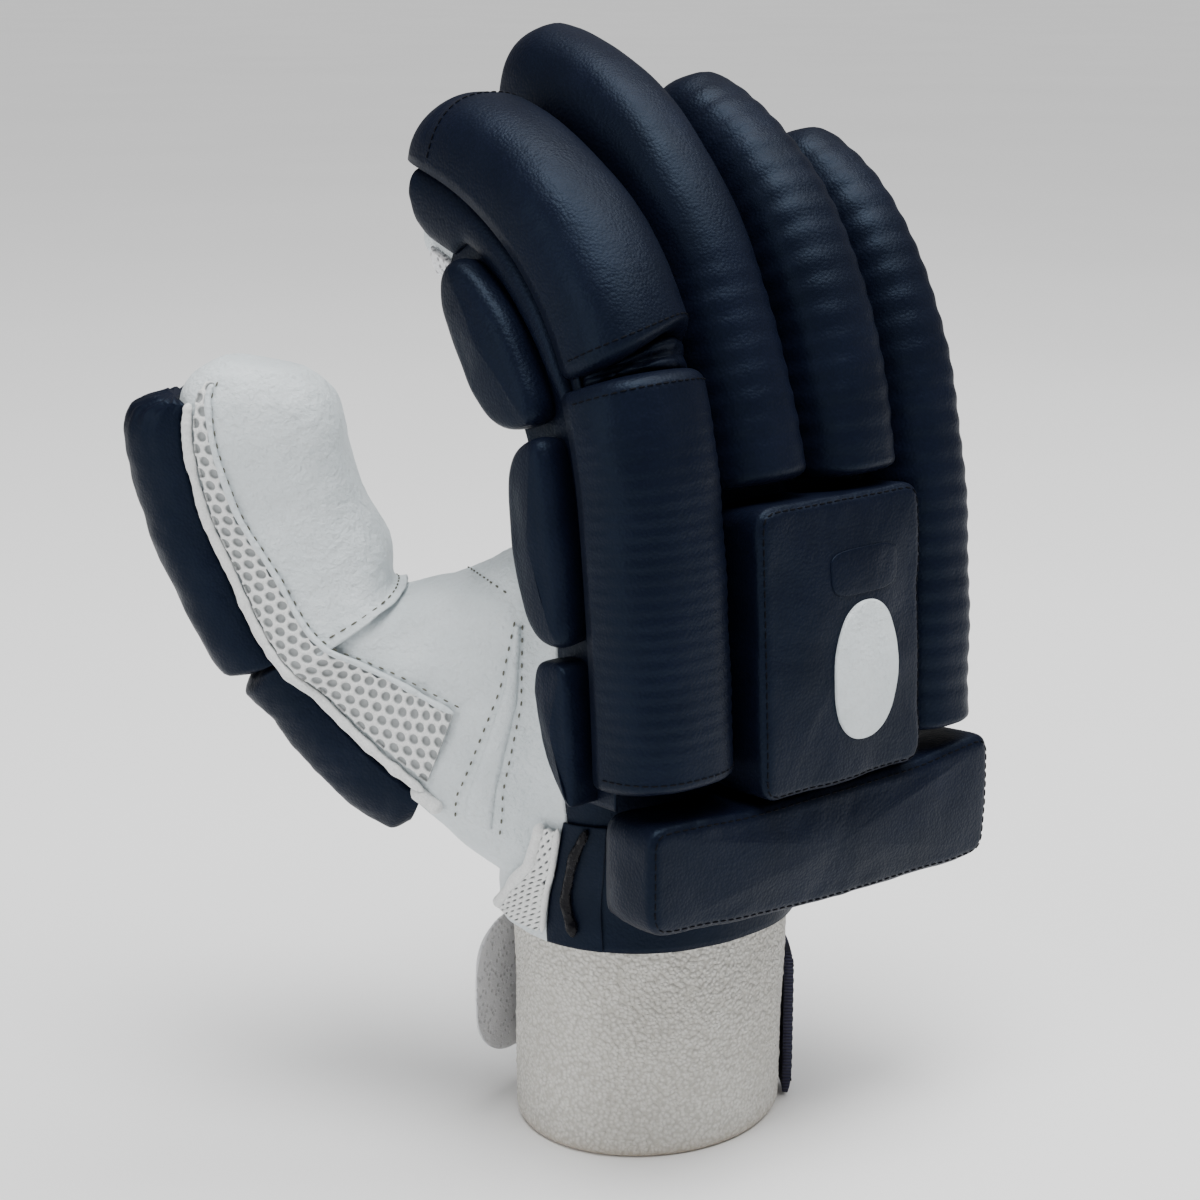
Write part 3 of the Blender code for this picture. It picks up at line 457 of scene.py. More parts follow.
def piece(name, verts, faces, mat, replaced=(), values=None):
    """A finished mesh piece from points in millimetres; values are point attributes by name."""
    mesh = bpy.data.meshes.new(name)
    mesh.from_pydata(settle(verts).tolist(), [], [tuple(int(i) for i in f) for f in faces])
    for key, numbers in (values or {}).items():
        layer = mesh.attributes.new(key, "FLOAT", "POINT")
        layer.data.foreach_set("value", np.asarray(numbers, np.float32))
    obj = add(name, mesh)
    work = bmesh.new()
    work.from_mesh(mesh)
    bmesh.ops.recalc_face_normals(work, faces=work.faces)
    if work.calc_volume(signed=True) < 0:
        bmesh.ops.reverse_faces(work, faces=work.faces)
    work.to_mesh(mesh)
    work.free()
    mesh.shade_smooth()
    mesh.materials.append(mat)
    return keep(obj, replaced)


def keep(obj, replaced=()):
    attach(obj, "root")
    if replaced:
        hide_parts(*replaced)
    return obj


def temporary(name, verts, faces, edges=(), scale=1.0):
    """A scratch object for a modifier, from points in millimetres."""
    mesh = bpy.data.meshes.new(name)
    mesh.from_pydata((np.asarray(verts, float) * scale).tolist(), [tuple(e) for e in edges],
                     [tuple(int(i) for i in f) for f in faces])
    return add(name, mesh)


def evaluated_mesh(obj):
    """The mesh of an object after its modifiers; the object is removed."""
    graph = bpy.context.evaluated_depsgraph_get()
    mesh = bpy.data.meshes.new_from_object(obj.evaluated_get(graph), depsgraph=graph)
    bpy.data.objects.remove(obj)
    return mesh


def mesh_arrays(mesh):
    verts = np.empty(len(mesh.vertices) * 3)
    mesh.vertices.foreach_get("co", verts)
    return verts.reshape(-1, 3), [tuple(p.vertices) for p in mesh.polygons]


def skin_normals(verts, faces):
    """Outward unit normals at the points of a mesh."""
    total = np.zeros_like(verts)
    for size in (3, 4):
        chosen = np.array([f for f in faces if len(f) == size], int)
        if len(chosen):
            p = verts[chosen]
            normal = np.cross(p[:, 2] - p[:, 0], p[:, -1] - p[:, 1])
            for k in range(size):
                np.add.at(total, chosen[:, k], normal)
    return total / (np.linalg.norm(total, axis=1, keepdims=True) + 1e-12)


def remeshed(verts, faces, voxel, scale=1.0):
    """The mesh of one skin of even cells over closed parts."""
    rough = temporary("rough", verts, faces, scale=scale)
    remesh = rough.modifiers.new("skin", "REMESH")
    remesh.mode = "VOXEL"
    remesh.voxel_size = voxel
    return evaluated_mesh(rough)


def sides(faces):
    """Every side of every face, as its two points in the face's order."""
    return [(f[k], f[(k + 1) % len(f)]) for f in faces for k in range(len(f))]


def neighbour_mean(values, pairs):
    """The mean of the values at each point's neighbours; pairs are the sides of the faces, as an array."""
    around = np.zeros_like(values)
    np.add.at(around, pairs[:, 0], values[pairs[:, 1]])
    return around / np.bincount(pairs[:, 0], minlength=len(values))[:, None]


def skinned(parts, rounds):
    """One smooth skin over closed parts that run into each other."""
    verts = np.vstack([p[0] for p in parts])
    starts = np.cumsum([0] + [len(p[0]) for p in parts])
    faces = [tuple(i + start for i in f) for (_, skin), start in zip(parts, starts) for f in skin]
    verts, faces = mesh_arrays(remeshed(verts, faces, HAND_VOXEL))
    pairs = np.array(sides(faces))
    for _ in range(rounds):
        for share in (0.6, -0.5):
            verts = verts + share * (neighbour_mean(verts, pairs) - verts)
    return verts, faces


def cut_skin(verts, faces, planes):
    """The skin without what lies beyond each plane: its point, its normal, and a test of where it cuts."""
    work = bmesh.new()
    scratch = temporary("uncut", verts, faces)
    work.from_mesh(scratch.data)
    bpy.data.objects.remove(scratch)
    for point, normal, near in planes:
        chosen = [f for f in work.faces if near is None or near(f.calc_center_median())]
        geometry = set(chosen)
        for face in chosen:
            geometry.update(face.verts)
            geometry.update(face.edges)
        bmesh.ops.bisect_plane(work, geom=list(geometry), plane_co=point, plane_no=normal, clear_outer=True)
    bmesh.ops.delete(work, geom=[v for v in work.verts if not v.link_faces], context="VERTS")
    mesh = bpy.data.meshes.new("cut")
    work.to_mesh(mesh)
    work.free()
    return mesh_arrays(mesh)


def thickened(verts, faces, wall):
    """A wall behind an open skin, closed round its edges."""
    back = len(verts)
    inner = verts - skin_normals(verts, faces) * wall
    edges = set(sides(faces))
    rim = [(b, a, a + back, b + back) for a, b in edges if (b, a) not in edges]
    return np.vstack([verts, inner]), list(faces) + [tuple(i + back for i in reversed(f)) for f in faces] + rim


def node_tree(name, inputs, kinds, settings, links):
    """A Geometry Nodes tree: its inputs and their kinds, its nodes by key, what is set on them, and their links."""
    tree = bpy.data.node_groups.new(name, "GeometryNodeTree")
    for title, kind in (("Geometry", "Geometry"), *inputs):
        tree.interface.new_socket(title, in_out="INPUT", socket_type="NodeSocket" + kind)
    tree.interface.new_socket("Geometry", in_out="OUTPUT", socket_type="NodeSocketGeometry")
    node = {key: tree.nodes.new(kind) for key, kind in kinds.items()}
    for key, title, value in settings:
        setattr(node[key], title, value)
    for a, out, b, into in links:
        tree.links.new(node[a].outputs[out], node[b].inputs[into])
    return tree, node


def grown(carrier, group, values):
    """The mesh that a Geometry Nodes tree makes of an object, with values for the tree's named inputs."""
    rows = carrier.modifiers.new(group.name, "NODES")
    rows.node_group = group
    for item in group.interface.items_tree:
        if item.in_out == "INPUT" and item.name in values:
            rows[item.identifier] = values[item.name]
    return evaluated_mesh(carrier)


def stitch_rows():
    """The node tree that lays stitches along lines: pitch, length and thickness in metres, and a thread."""
    kinds = {"start": "NodeGroupInput", "end": "NodeGroupOutput", "line": "GeometryNodeMeshToCurve",
             "steps": "GeometryNodeResampleCurve", "bead": "GeometryNodeMeshUVSphere", "size": "ShaderNodeCombineXYZ",
             "form": "GeometryNodeTransform", "place": "GeometryNodeInstanceOnPoints",
             "turn": "FunctionNodeAlignRotationToVector", "tangent": "GeometryNodeInputTangent",
             "whole": "GeometryNodeRealizeInstances", "smooth": "GeometryNodeSetShadeSmooth",
             "finish": "GeometryNodeSetMaterial"}
    links = (
        ("start", "Geometry", "line", "Mesh"), ("line", "Curve", "steps", "Curve"),
        ("start", "Pitch", "steps", "Length"), ("steps", "Curve", "place", "Points"),
        ("start", "Thickness", "size", "X"), ("start", "Thickness", "size", "Y"), ("start", "Length", "size", "Z"),
        ("bead", "Mesh", "form", "Geometry"), ("size", "Vector", "form", "Scale"),
        ("form", "Geometry", "place", "Instance"), ("tangent", "Tangent", "turn", "Vector"),
        ("turn", "Rotation", "place", "Rotation"), ("place", "Instances", "whole", "Geometry"),
        ("whole", "Geometry", "smooth", "Geometry"), ("smooth", "Geometry", "finish", "Geometry"),
        ("start", "Thread", "finish", "Material"), ("finish", "Geometry", "end", "Geometry"))
    inputs = (("Pitch", "Float"), ("Length", "Float"), ("Thickness", "Float"), ("Thread", "Material"))
    settings = (("steps", "mode", "LENGTH"), ("turn", "axis", "Z"))
    tree, node = node_tree("stitch_rows", inputs, kinds, settings, links)
    for title, value in (("Segments", 6), ("Rings", 5), ("Radius", 0.5)):
        node["bead"].inputs[title].default_value = value
    return tree


STITCH_ROWS = stitch_rows()


def sew(name, lines, pitch, length, thick, thread_finish):
    """Rows of stitches along lines of points."""
    verts = np.vstack(lines)
    starts = np.cumsum([0] + [len(line) for line in lines])
    edges = [(a + k, a + k + 1) for a, line in zip(starts, lines) for k in range(len(line) - 1)]
    values = {"Pitch": pitch * MM, "Length": length * MM, "Thickness": thick * MM, "Thread": thread_finish}
    mesh = grown(temporary(name + "_line", settle(verts), (), edges), STITCH_ROWS, values)
    return keep(add(name, mesh))


# Stuffing: a short cloth simulation under pressure swells a coarse copy of a pad, and the pad follows it

SWELL_VOXEL, SWELL_PRESSURE, SWELL_FRAMES, SWELL_SMOOTH = 4.0, 4.0, 20, 12


def swollen(grid, cap, hold=4):
    """The pad's rings after the simulation; its first rings, at its foot, stay where they are."""
    scene = bpy.context.scene
    coarse = add("pad_coarse", remeshed(*closed_skin(grid), SWELL_VOXEL * MM, MM))
    rest, cells = mesh_arrays(coarse.data)
    cloth = coarse.modifiers.new("stuffing", "CLOTH")
    cloth.settings.use_pressure = True
    cloth.settings.uniform_pressure_force = SWELL_PRESSURE
    cloth.settings.effector_weights.gravity = 0.0
    for step in range(1, SWELL_FRAMES + 1):
        scene.frame_set(step)
    moved, _ = mesh_arrays(evaluated_mesh(coarse))
    scene.frame_set(1)
    shift = (moved - rest) / MM
    shift -= shift.mean(axis=0)
    pairs = np.array(sides(cells))
    for _ in range(SWELL_SMOOTH):
        shift = (shift + neighbour_mean(shift, pairs)) / 2
    size = np.linalg.norm(shift, axis=1, keepdims=True) + 1e-9
    shift *= np.minimum(1.0, cap / size)
    near = KDTree(len(rest))
    for k, point in enumerate(rest / MM):
        near.insert(point, k)
    near.balance()
    out = grid.copy()
    for row in range(hold, grid.shape[0]):
        ease = min(1.0, (row - hold + 1) / 4)
        for column in range(grid.shape[1]):
            found = near.find_n(grid[row, column], 5)
            weights = np.array([1 / (distance + 0.5) ** 2 for _, _, distance in found])
            pushed = weights @ shift[[index for _, index, _ in found]] / weights.sum()
            out[row, column] += ease * pushed
    return out


# Places under pixels of the photograph


def camera_axes():
    turn, rise = math.radians(VIEW_TURN), math.radians(VIEW_RISE)
    back = np.array((math.sin(turn) * math.cos(rise), -math.cos(turn) * math.cos(rise), math.sin(rise)))
    right = np.array((math.cos(turn), math.sin(turn), 0.0))
    return back, right, np.cross(back, right)


def run_along(path):
    """The distance from the start of a line to each of its points."""
    return np.concatenate([[0.0], np.cumsum(np.linalg.norm(np.diff(path, axis=0), axis=1))])


def evenly(path, count):
    """An open line again, with count points at even steps."""
    path = np.asarray(path, float)
    run = run_along(path)
    want = np.linspace(0, run[-1], count)
    return np.stack([np.interp(want, run, path[:, k]) for k in range(path.shape[1])], axis=-1)


def under_pixels(tree, pixels, count, lift=0.0):
    """Points of a surface under a line of pixels, lifted from it, and the surface's normals there."""
    back, right, up = camera_axes()
    eye = np.array(VIEW_TARGET) + back * VIEW_DISTANCE
    points, normals = [], []
    for px, py in evenly(pixels, count):
        way = ((px - PHOTO_SIZE / 2) * right - (py - PHOTO_SIZE / 2) * up) * VIEW_PIXEL - back * VIEW_DISTANCE
        hit, normal, _, _ = tree.ray_cast(Vector(eye), Vector(way).normalized())
        if hit is not None:
            points.append(np.array(hit) + lift * np.array(normal))
            normals.append(np.array(normal))
    return np.array(points), np.array(normals)


def groove(verts, line, depth, width):
    """How deep a crease along a line presses each point."""
    total = np.full(len(verts), 1e9)
    for point in line:
        total = np.minimum(total, np.sum((verts - point) ** 2, axis=1))
    return depth * np.exp(-total / width ** 2)


def grid_faces(rows, count, wrap=True, start=0):
    """Quads of a grid of rows by count points; wrap joins the last column to the first."""
    k, i = np.meshgrid(np.arange(rows - 1), np.arange(count if wrap else count - 1), indexing="ij")
    j = (i + 1) % count
    quads = np.stack([k * count + i, k * count + j, (k + 1) * count + j, (k + 1) * count + i], axis=-1)
    return (quads.reshape(-1, 4) + start).tolist()


def closed_skin(grid):
    """Points and faces of a tube of rings with a fan at each end."""
    rows, count = grid.shape[:2]
    verts = grid.reshape(-1, 3)
    faces = grid_faces(rows, count)
    verts = np.vstack([verts, grid[0].mean(axis=0), grid[-1].mean(axis=0)])
    first, last = rows * count, rows * count + 1
    for i in range(count):
        j = (i + 1) % count
        faces.append((j, i, first))
        faces.append(((rows - 1) * count + i, (rows - 1) * count + j, last))
    return verts, faces


def walled(outer, inner, wrap=True, capped=False):
    """Points and faces of a wall between two grids; capped closes the last row with fans, else with a rim."""
    rows, count = outer.shape[:2]
    verts = np.vstack([outer.reshape(-1, 3), inner.reshape(-1, 3)])
    base = rows * count
    faces = grid_faces(rows, count, wrap)
    faces += [tuple(reversed(f)) for f in grid_faces(rows, count, wrap, base)]
    spans = range(count if wrap else count - 1)
    last = (rows - 1) * count
    for i in spans:
        j = (i + 1) % count
        faces.append((j, i, base + i, base + j))
        if not capped:
            faces.append((last + i, last + j, base + last + j, base + last + i))
    if not wrap:
        for k in range(rows - 1):
            a, b = k * count, (k + 1) * count
            faces.append((a, b, base + b, base + a))
            faces.append((b + count - 1, a + count - 1, base + a + count - 1, base + b + count - 1))
    if capped:
        verts = np.vstack([verts, outer[-1].mean(axis=0), inner[-1].mean(axis=0)])
        top, low = 2 * base, 2 * base + 1
        for i in spans:
            j = (i + 1) % count
            faces.append((last + i, last + j, top))
            faces.append((base + last + j, base + last + i, low))
    return verts, faces


def grid_normals(grid, wrap, inside=None):
    """Unit normals of a grid of points; they face away from what lies inside it, where that is given."""
    if wrap:
        across = np.roll(grid, -1, axis=1) - np.roll(grid, 1, axis=1)
    else:
        across = np.gradient(grid, axis=1)
    along = np.gradient(grid, axis=0)
    normal = np.cross(across, along)
    normal /= np.linalg.norm(normal, axis=-1, keepdims=True) + 1e-9
    if inside is not None and np.sum(normal * (grid - inside)) < 0:
        normal = -normal
    return normal


# Rolls along the fingers

ROLL_ROW, ROLL_TURNS, ROLL_UNDER, ROLL_TOE = 0.7, 44, 14, 3.0
RIB_PITCH, RIB_RISE, FINE_PITCH, FINE_RISE = 5.5, 0.72, 3.3, 0.42
NUB_RISE, NUB_SPREAD, KNUCKLE_OPEN = 2.6, 1.7, 8.0
HEM_BACK, HEM_DIP = 9.5, 1.0


def creases(s, start, pitch, sharp=0.7):
    """1 on the crown of a rib and 0 in the crease between two."""
    return (0.5 + 0.5 * np.cos(2 * math.pi * (s - start) / pitch)) ** sharp


def window(s, low, high, fade):
    """1 between low and high, fading to 0 over fade at both ends."""
    return np.clip((s - low) / fade, 0, 1) * np.clip((high - s) / fade, 0, 1)


def roll_skin(finger, start, stop, left, right, dome, ribs, seed, nub, blunt, opened, hem_dip):
    """A stuffed roll with ribs, a domed end with a hem, and the nub where its seam ends; its foot opens on one side."""
    foot = ROLL_TOE
    pitch, rise, rib_low, rib_high, sharp = ribs
    straight = np.arange(start + foot, stop - dome, ROLL_ROW)
    toe = start + foot * (1 - np.cos(np.linspace(0, math.pi / 2, 7)[:-1]))
    turn = np.linspace(0, math.pi / 2, 18)[1:]
    s = np.concatenate([toe, straight, stop - dome + dome * np.sin(turn)])
    shrink = np.concatenate([0.55 + 0.45 * np.sin(np.linspace(0, math.pi / 2, 7)[:-1]), np.ones(len(straight)),
                             blunt + (1 - blunt) * np.cos(turn) ** 0.75])
    over = np.linspace(180.0, 0.0, ROLL_TURNS)
    u, v = squared(over, ROLL_POWER)
    under = np.linspace(1.0, -1.0, ROLL_UNDER + 2)[1:-1]
    u = np.concatenate([u, under * 0.96])
    v = np.concatenate([v, np.zeros(ROLL_UNDER)])
    half = (right - left) / 2
    narrow = 1 - 0.45 * (1 - shrink)
    x = (left + right) / 2 + half * narrow[:, None] * u
    relief = rise * (1 - creases(s, rib_low, pitch, sharp)) * window(s, rib_low, rib_high, 8.0)
    tuck = np.clip(v, 0, 1) ** 0.5 * (0.28 + 0.72 * u ** 2)
    hem = hem_dip * np.exp(-((s - stop + HEM_BACK) / 0.8) ** 2)[:, None] * np.clip(v, 0, 1) ** 0.5
    lifted = opened * ((1 + u) / 2) ** 1.3 * np.clip(v, 0, 1) * np.exp(-(s[:, None] - start) / 9.0)
    out = ROLL_THICK * shrink[:, None] * v - relief[:, None] * tuck - hem
    out = out + nub * np.exp(-((s - stop + 0.62 * dome) / NUB_SPREAD) ** 2)[:, None] * np.exp(-(u / 0.3) ** 2) * tuck
    x = x - np.sign(u) * relief[:, None] * 0.6 * np.abs(u) ** 3 * tuck
    grid = on_back(finger, s[:, None] + lifted, x, out)
    soft = ripple(grid, 26.0, seed) * 0.35 + ripple(grid, 7.0, seed + 1) * 0.05
    return grid + grid_normals(grid, True) * (-soft * tuck)[..., None], s


def row_line(grid, s, place, low=2, high=ROLL_TURNS - 2, lift=0.1):
    """The line that a row of stitches follows across a roll, just over its skin."""
    row = int(np.argmin(np.abs(s - place)))
    line = grid[row, low:high]
    middle = grid[row].mean(axis=0)
    away = line - middle
    return line + lift * away / np.linalg.norm(away, axis=1, keepdims=True)


def make_rolls():
    side = ROLL_GAP / 2
    plain = (RIB_PITCH, 0.0, 0.0, 1.0, 1.0)
    table = (
        ("middle_roll", "middle", KNUCKLE_S, LENGTH["middle"] + 1.5, MIDDLE_EDGE + side, RING_EDGE - side, 11.0,
         (RIB_PITCH, 0.8 * RIB_RISE, KNUCKLE_S + 2, KNUCKLE_S + 52, 1.0)),
        ("ring_roll", "ring", KNUCKLE_S, LENGTH["ring"] + 1.5, RING_EDGE + side, LITTLE_EDGE - side, 10.0,
         (RIB_PITCH, RIB_RISE, KNUCKLE_S + 2, LENGTH["ring"] - 2, 0.9)),
        ("little_roll", "little", 1.0, LENGTH["little"] + 1.5, LITTLE_EDGE + side, HAND_EDGE - side, 10.0,
         (RIB_PITCH, RIB_RISE, 4.0, LENGTH["little"] - 2, 0.9)),
        ("index_roll", "index", INDEX_GAP_S + INDEX_GAP, LENGTH["index"] + 9.0, INDEX_EDGE - 3.0, MIDDLE_EDGE - side,
         16.0, plain),
        ("index_block", "index", BLOCK_FOOT, INDEX_GAP_S, INDEX_EDGE - BLOCK_OVER, MIDDLE_EDGE - side, 4.0,
         (FINE_PITCH, FINE_RISE, BLOCK_FOOT + 4, INDEX_GAP_S - 6, 0.8)),
    )
    sewn = []
    for k, (name, finger, start, stop, left, right, dome, ribs) in enumerate(table):
        nub = 0.0 if finger == "index" else NUB_RISE
        blunt = 0.62 if name == "index_block" else 0.3
        opened = KNUCKLE_OPEN if name == "index_roll" else 0.0
        grid, s = roll_skin(finger, start, stop, left, right, dome, ribs, 11 * k + 3, nub, blunt, opened,
                            HEM_DIP if opened else 0.0)
        verts, faces = closed_skin(grid)
        piece(name + "_leather", verts, faces, NAVY, (name,))
        if name == "index_roll":
            sewn += [row_line(grid, s, start + 3.6), row_line(grid, s, stop - HEM_BACK - 1.8)]
        if name == "index_block":
            sewn += [row_line(grid, s, stop - 3.4), row_line(grid, s, start + 3.8)]
    sew("roll_stitches", sewn, 2.1, 1.7, 0.42, DARK_THREAD)
    middle, half = (INDEX_EDGE + MIDDLE_EDGE) / 2, (MIDDLE_EDGE - INDEX_EDGE) / 2 - ROLL_GAP
    u, v = squared(np.linspace(180, 0, 90), 2.2)
    share = np.linspace(0, 1, 26)[:, None]
    reach = INDEX_GAP + KNUCKLE_OPEN * ((1 + u) / 2) ** 1.3 * np.clip(v, 0, 1)
    fold = 0.70 + 0.07 * np.sin(share * 9.0 + 1.6 * u) - 0.10 * np.abs(2 * share - 1)
    grid = on_back("index", INDEX_GAP_S + 0.1 + share * (reach - 0.2), middle + half * u, v * ROLL_THICK * fold)
    grid = grid + grid_normals(grid, False) * (0.45 * ripple(grid, 6.0, 17))[..., None]
    verts, faces = closed_skin(grid)
    piece("knuckle_folds", verts, faces, NAVY, ("knuckle_tuck",))


# Pads


def rounded(points, radius, steps=6):
    """A polygon with its corners turned by arcs of about the radius."""
    points = [np.array(p, float) for p in points]
    out = []
    for i, p in enumerate(points):
        a = points[i - 1] - p
        b = points[(i + 1) % len(points)] - p
        la, lb = np.linalg.norm(a), np.linalg.norm(b)
        r = min(radius, 0.45 * la, 0.45 * lb)
        for t in np.linspace(0, 1, steps):
            out.append((1 - t) ** 2 * (p + a / la * r) + 2 * t * (1 - t) * p + t * t * (p + b / lb * r))
    return np.array(out)


def resample(outline, count):
    """The closed outline again, with count points at even steps."""
    ring = np.vstack([outline, outline[:1]])
    run = run_along(ring)
    want = np.linspace(0, run[-1], count, endpoint=False)
    return np.stack([np.interp(want, run, ring[:, i]) for i in (0, 1)], axis=-1), run[-1]


def inset(outline, by):
    """The outline moved in by a distance along its own normals, smoothed."""
    ahead = np.roll(outline, -1, axis=0) - np.roll(outline, 1, axis=0)
    normal = np.stack([ahead[:, 1], -ahead[:, 0]], axis=-1)
    normal /= np.linalg.norm(normal, axis=1, keepdims=True) + 1e-9
    middle = outline.mean(axis=0)
    if np.sum(normal * (outline - middle)) < 0:
        normal = -normal
    return outline - normal * by


def pad_skin(outline, thick, edge, place, seed, crown=1.0, seam=0.0, pucker=0.0, count=150, power=2.3, softer=3):
    """A stuffed pad: its outline in, its face rounded over its edge and crowned, its foot tucked under."""
    ring, run = resample(outline, count)
    middle = ring.mean(axis=0)
    tangent = np.arange(count) / count * run
    gathers = np.abs(np.sin(math.pi * tangent / 5.2 + 1.3 * np.sin(tangent / 9.0))) ** 0.6
    rings = []
    for h in (0.0, 0.1, 0.25, 0.45, 0.7, 1.0):
        tuck = 0.9 * (1 - h) ** 2
        flat = inset(ring, tuck)
        rings.append(place(flat[:, 0], flat[:, 1], np.full(count, h * (thick - edge))))
    for t in np.linspace(0, math.pi / 2, 13)[1:]:
        share = 1 - math.cos(t)
        flat = middle + (inset(ring, edge) - middle) * share + (ring - middle) * (1 - share)
        rise = math.sin(t) ** (2 / power)
        lift = np.full(count, thick - edge + edge * rise)
        lift -= pucker * (1 - gathers) * math.sin(2 * t) ** 2
        lift -= seam * math.exp(-((t - 0.9) / 0.16) ** 2)
        rings.append(place(flat[:, 0], flat[:, 1], lift))
    last = inset(ring, edge)
    for share in np.linspace(1, 0, 13)[1:-1]:
        flat = middle + (last - middle) * share
        lift = thick + crown * (1 - share ** 2) ** 1.5 + 0 * flat[:, 0]
        rings.append(place(flat[:, 0], flat[:, 1], lift))
    grid = np.array(rings)
    for _ in range(softer):
        soft = grid.copy()
        soft[1:-1] = (grid[:-2] + 2 * grid[1:-1] + grid[2:]) / 4
        grid = (2 * soft + np.roll(soft, 1, axis=1) + np.roll(soft, -1, axis=1)) / 4
    relief = ripple(grid, 22.0, seed) * 0.25 + ripple(grid, 7.0, seed + 1) * 0.05
    relief[:2] = 0
    return grid + grid_normals(grid, True, grid.reshape(-1, 3).mean(axis=0)) * relief[..., None]


def on_hand(x, z, out):
    """Points over the hand between the knuckle and the wrist, in front of both middle rolls' guides."""
    a = on_back("middle", z - ROLL_FOOT, x, out)
    b = on_back("ring", z - ROLL_FOOT, x, out)
    return np.where((a[..., 1] < b[..., 1])[..., None], a, b)


def hand_pad_outline():
    left, right = MIDDLE_EDGE + ROLL_GAP, LITTLE_EDGE - ROLL_GAP
    low = ROLL_FOOT - HAND_PAD_DROP
    high = low + HAND_PAD_HEIGHT
    return rounded([(left, low), (right, low), (right, high), (left, high)], 5.0)


def wrist_pad_outline():
    top = ROLL_FOOT - WRIST_PAD_DROP
    bottom = top - WRIST_PAD_HEIGHT
    middle = (WRIST_PAD_LEFT + WRIST_PAD_RIGHT) / 2
    corners = [(WRIST_PAD_LEFT, bottom + WRIST_PAD_TAPER), (middle, bottom + 0.15 * WRIST_PAD_TAPER),
               (WRIST_PAD_RIGHT, bottom), (WRIST_PAD_RIGHT, top + WRIST_PAD_HORN), (LITTLE_EDGE, top),
               (MIDDLE_EDGE + ROLL_GAP, top), (WRIST_PAD_LEFT, top + WRIST_PAD_HORN)]
    return rounded(corners, 6.0)


def back_of_hand(z):
    cuff_back = CUFF_Y - CUFF_HALF_DEPTH - CUFF_FLARE - CUFF_EASE - HAND_WALL
    z = np.asarray(z, float)
    share = np.sin(math.pi / 2 * np.clip((z - HAND_BOTTOM) / (ROLL_FOOT - HAND_BOTTOM), -0.2, 1))
    low = cuff_back + share * (BACK_Y + GAP - cuff_back)
    high = np.max([np.interp(z - ROLL_FOOT, GUIDES[f][0], GUIDES[f][1]) for f in BEND], axis=0) + GAP
    return np.where(z < ROLL_FOOT, low, high)


PLATE_Z, PLATE_WIDTH, PLATE_HEIGHT = 150.0, 23.0, 10.5


def plate(tree, centre_z, width, height, power, thick):
    """A thin rounded plate that lies on the hand pad's own skin, above or at the badge's place."""
    u, v = squared(np.linspace(0, 360, 90, endpoint=False), power)
    rings = []
    edge = [(1.0, -0.3), (1.0, 0.15)]
    for share, out in edge + [(math.cos(t), 0.15 + thick * math.sin(t) ** 0.5) for t in np.linspace(0.12, 1.5, 14)]:
        x, z = BADGE_X + share * width / 2 * u, centre_z + share * height / 2 * v
        ring = []
        for far, near in zip(on_hand(x, z, 60.0), on_hand(x, z, 0.0)):
            hit, _, _, _ = tree.ray_cast(Vector(far), Vector(near - far).normalized())
            ring.append(np.array(hit) + (far - near) / 60.0 * out)
        rings.append(ring)
    return closed_skin(np.array(rings))


def make_back_pads():
    grid = pad_skin(hand_pad_outline(), HAND_PAD_THICK, 2.6, on_hand, 71, crown=0.8, seam=0.35, pucker=0.25, count=220)
    grid = swollen(grid, 1.2)
    verts, faces = closed_skin(grid)
    piece("hand_pad_leather", verts, faces, NAVY, ("hand_pad",))
    sewn = [face_line(grid)]
    tree = BVHTree.FromPolygons(verts.tolist(), faces)
    verts, faces = plate(tree, BADGE_Z, BADGE_WIDTH, BADGE_HEIGHT, 2.2, BADGE_THICK)
    piece("badge_oval", verts, faces, WHITE, ("badge",))
    verts, faces = plate(tree, PLATE_Z, PLATE_WIDTH, PLATE_HEIGHT, 4.0, 0.35)
    piece("hand_pad_plate", verts, faces, NAVY)
    base = float(min(back_of_hand(HAND_BOTTOM), BACK_Y)) - GAP

    def on_wrist(x, z, out):
        return np.stack([x, base - out, z], axis=-1)

    grid = pad_skin(wrist_pad_outline(), WRIST_PAD_THICK, 3.2, on_wrist, 81, crown=1.2, seam=0.3, pucker=0.3, count=300)
    grid = swollen(grid, 1.2)
    verts, faces = closed_skin(grid)
    piece("wrist_pad_leather", verts, faces, NAVY, ("wrist_pad",))
    sewn.append(face_line(grid))
    sew("pad_stitches", sewn, 2.4, 1.9, 0.42, DARK_THREAD)


FACE_SEAM_RING = 13


def face_line(grid):
    """The closed line of stitches just inside the seam round a pad's face."""
    ring = grid[FACE_SEAM_RING]
    out = np.cross(grid[FACE_SEAM_RING + 1] - grid[FACE_SEAM_RING - 1],
                   np.roll(ring, -1, axis=0) - np.roll(ring, 1, axis=0))
    out /= np.linalg.norm(out, axis=1, keepdims=True) + 1e-9
    if np.sum(out * (ring - grid.reshape(-1, 3).mean(axis=0))) < 0:
        out = -out
    return np.vstack([ring + 0.1 * out, ring[:1] + 0.1 * out[:1]])


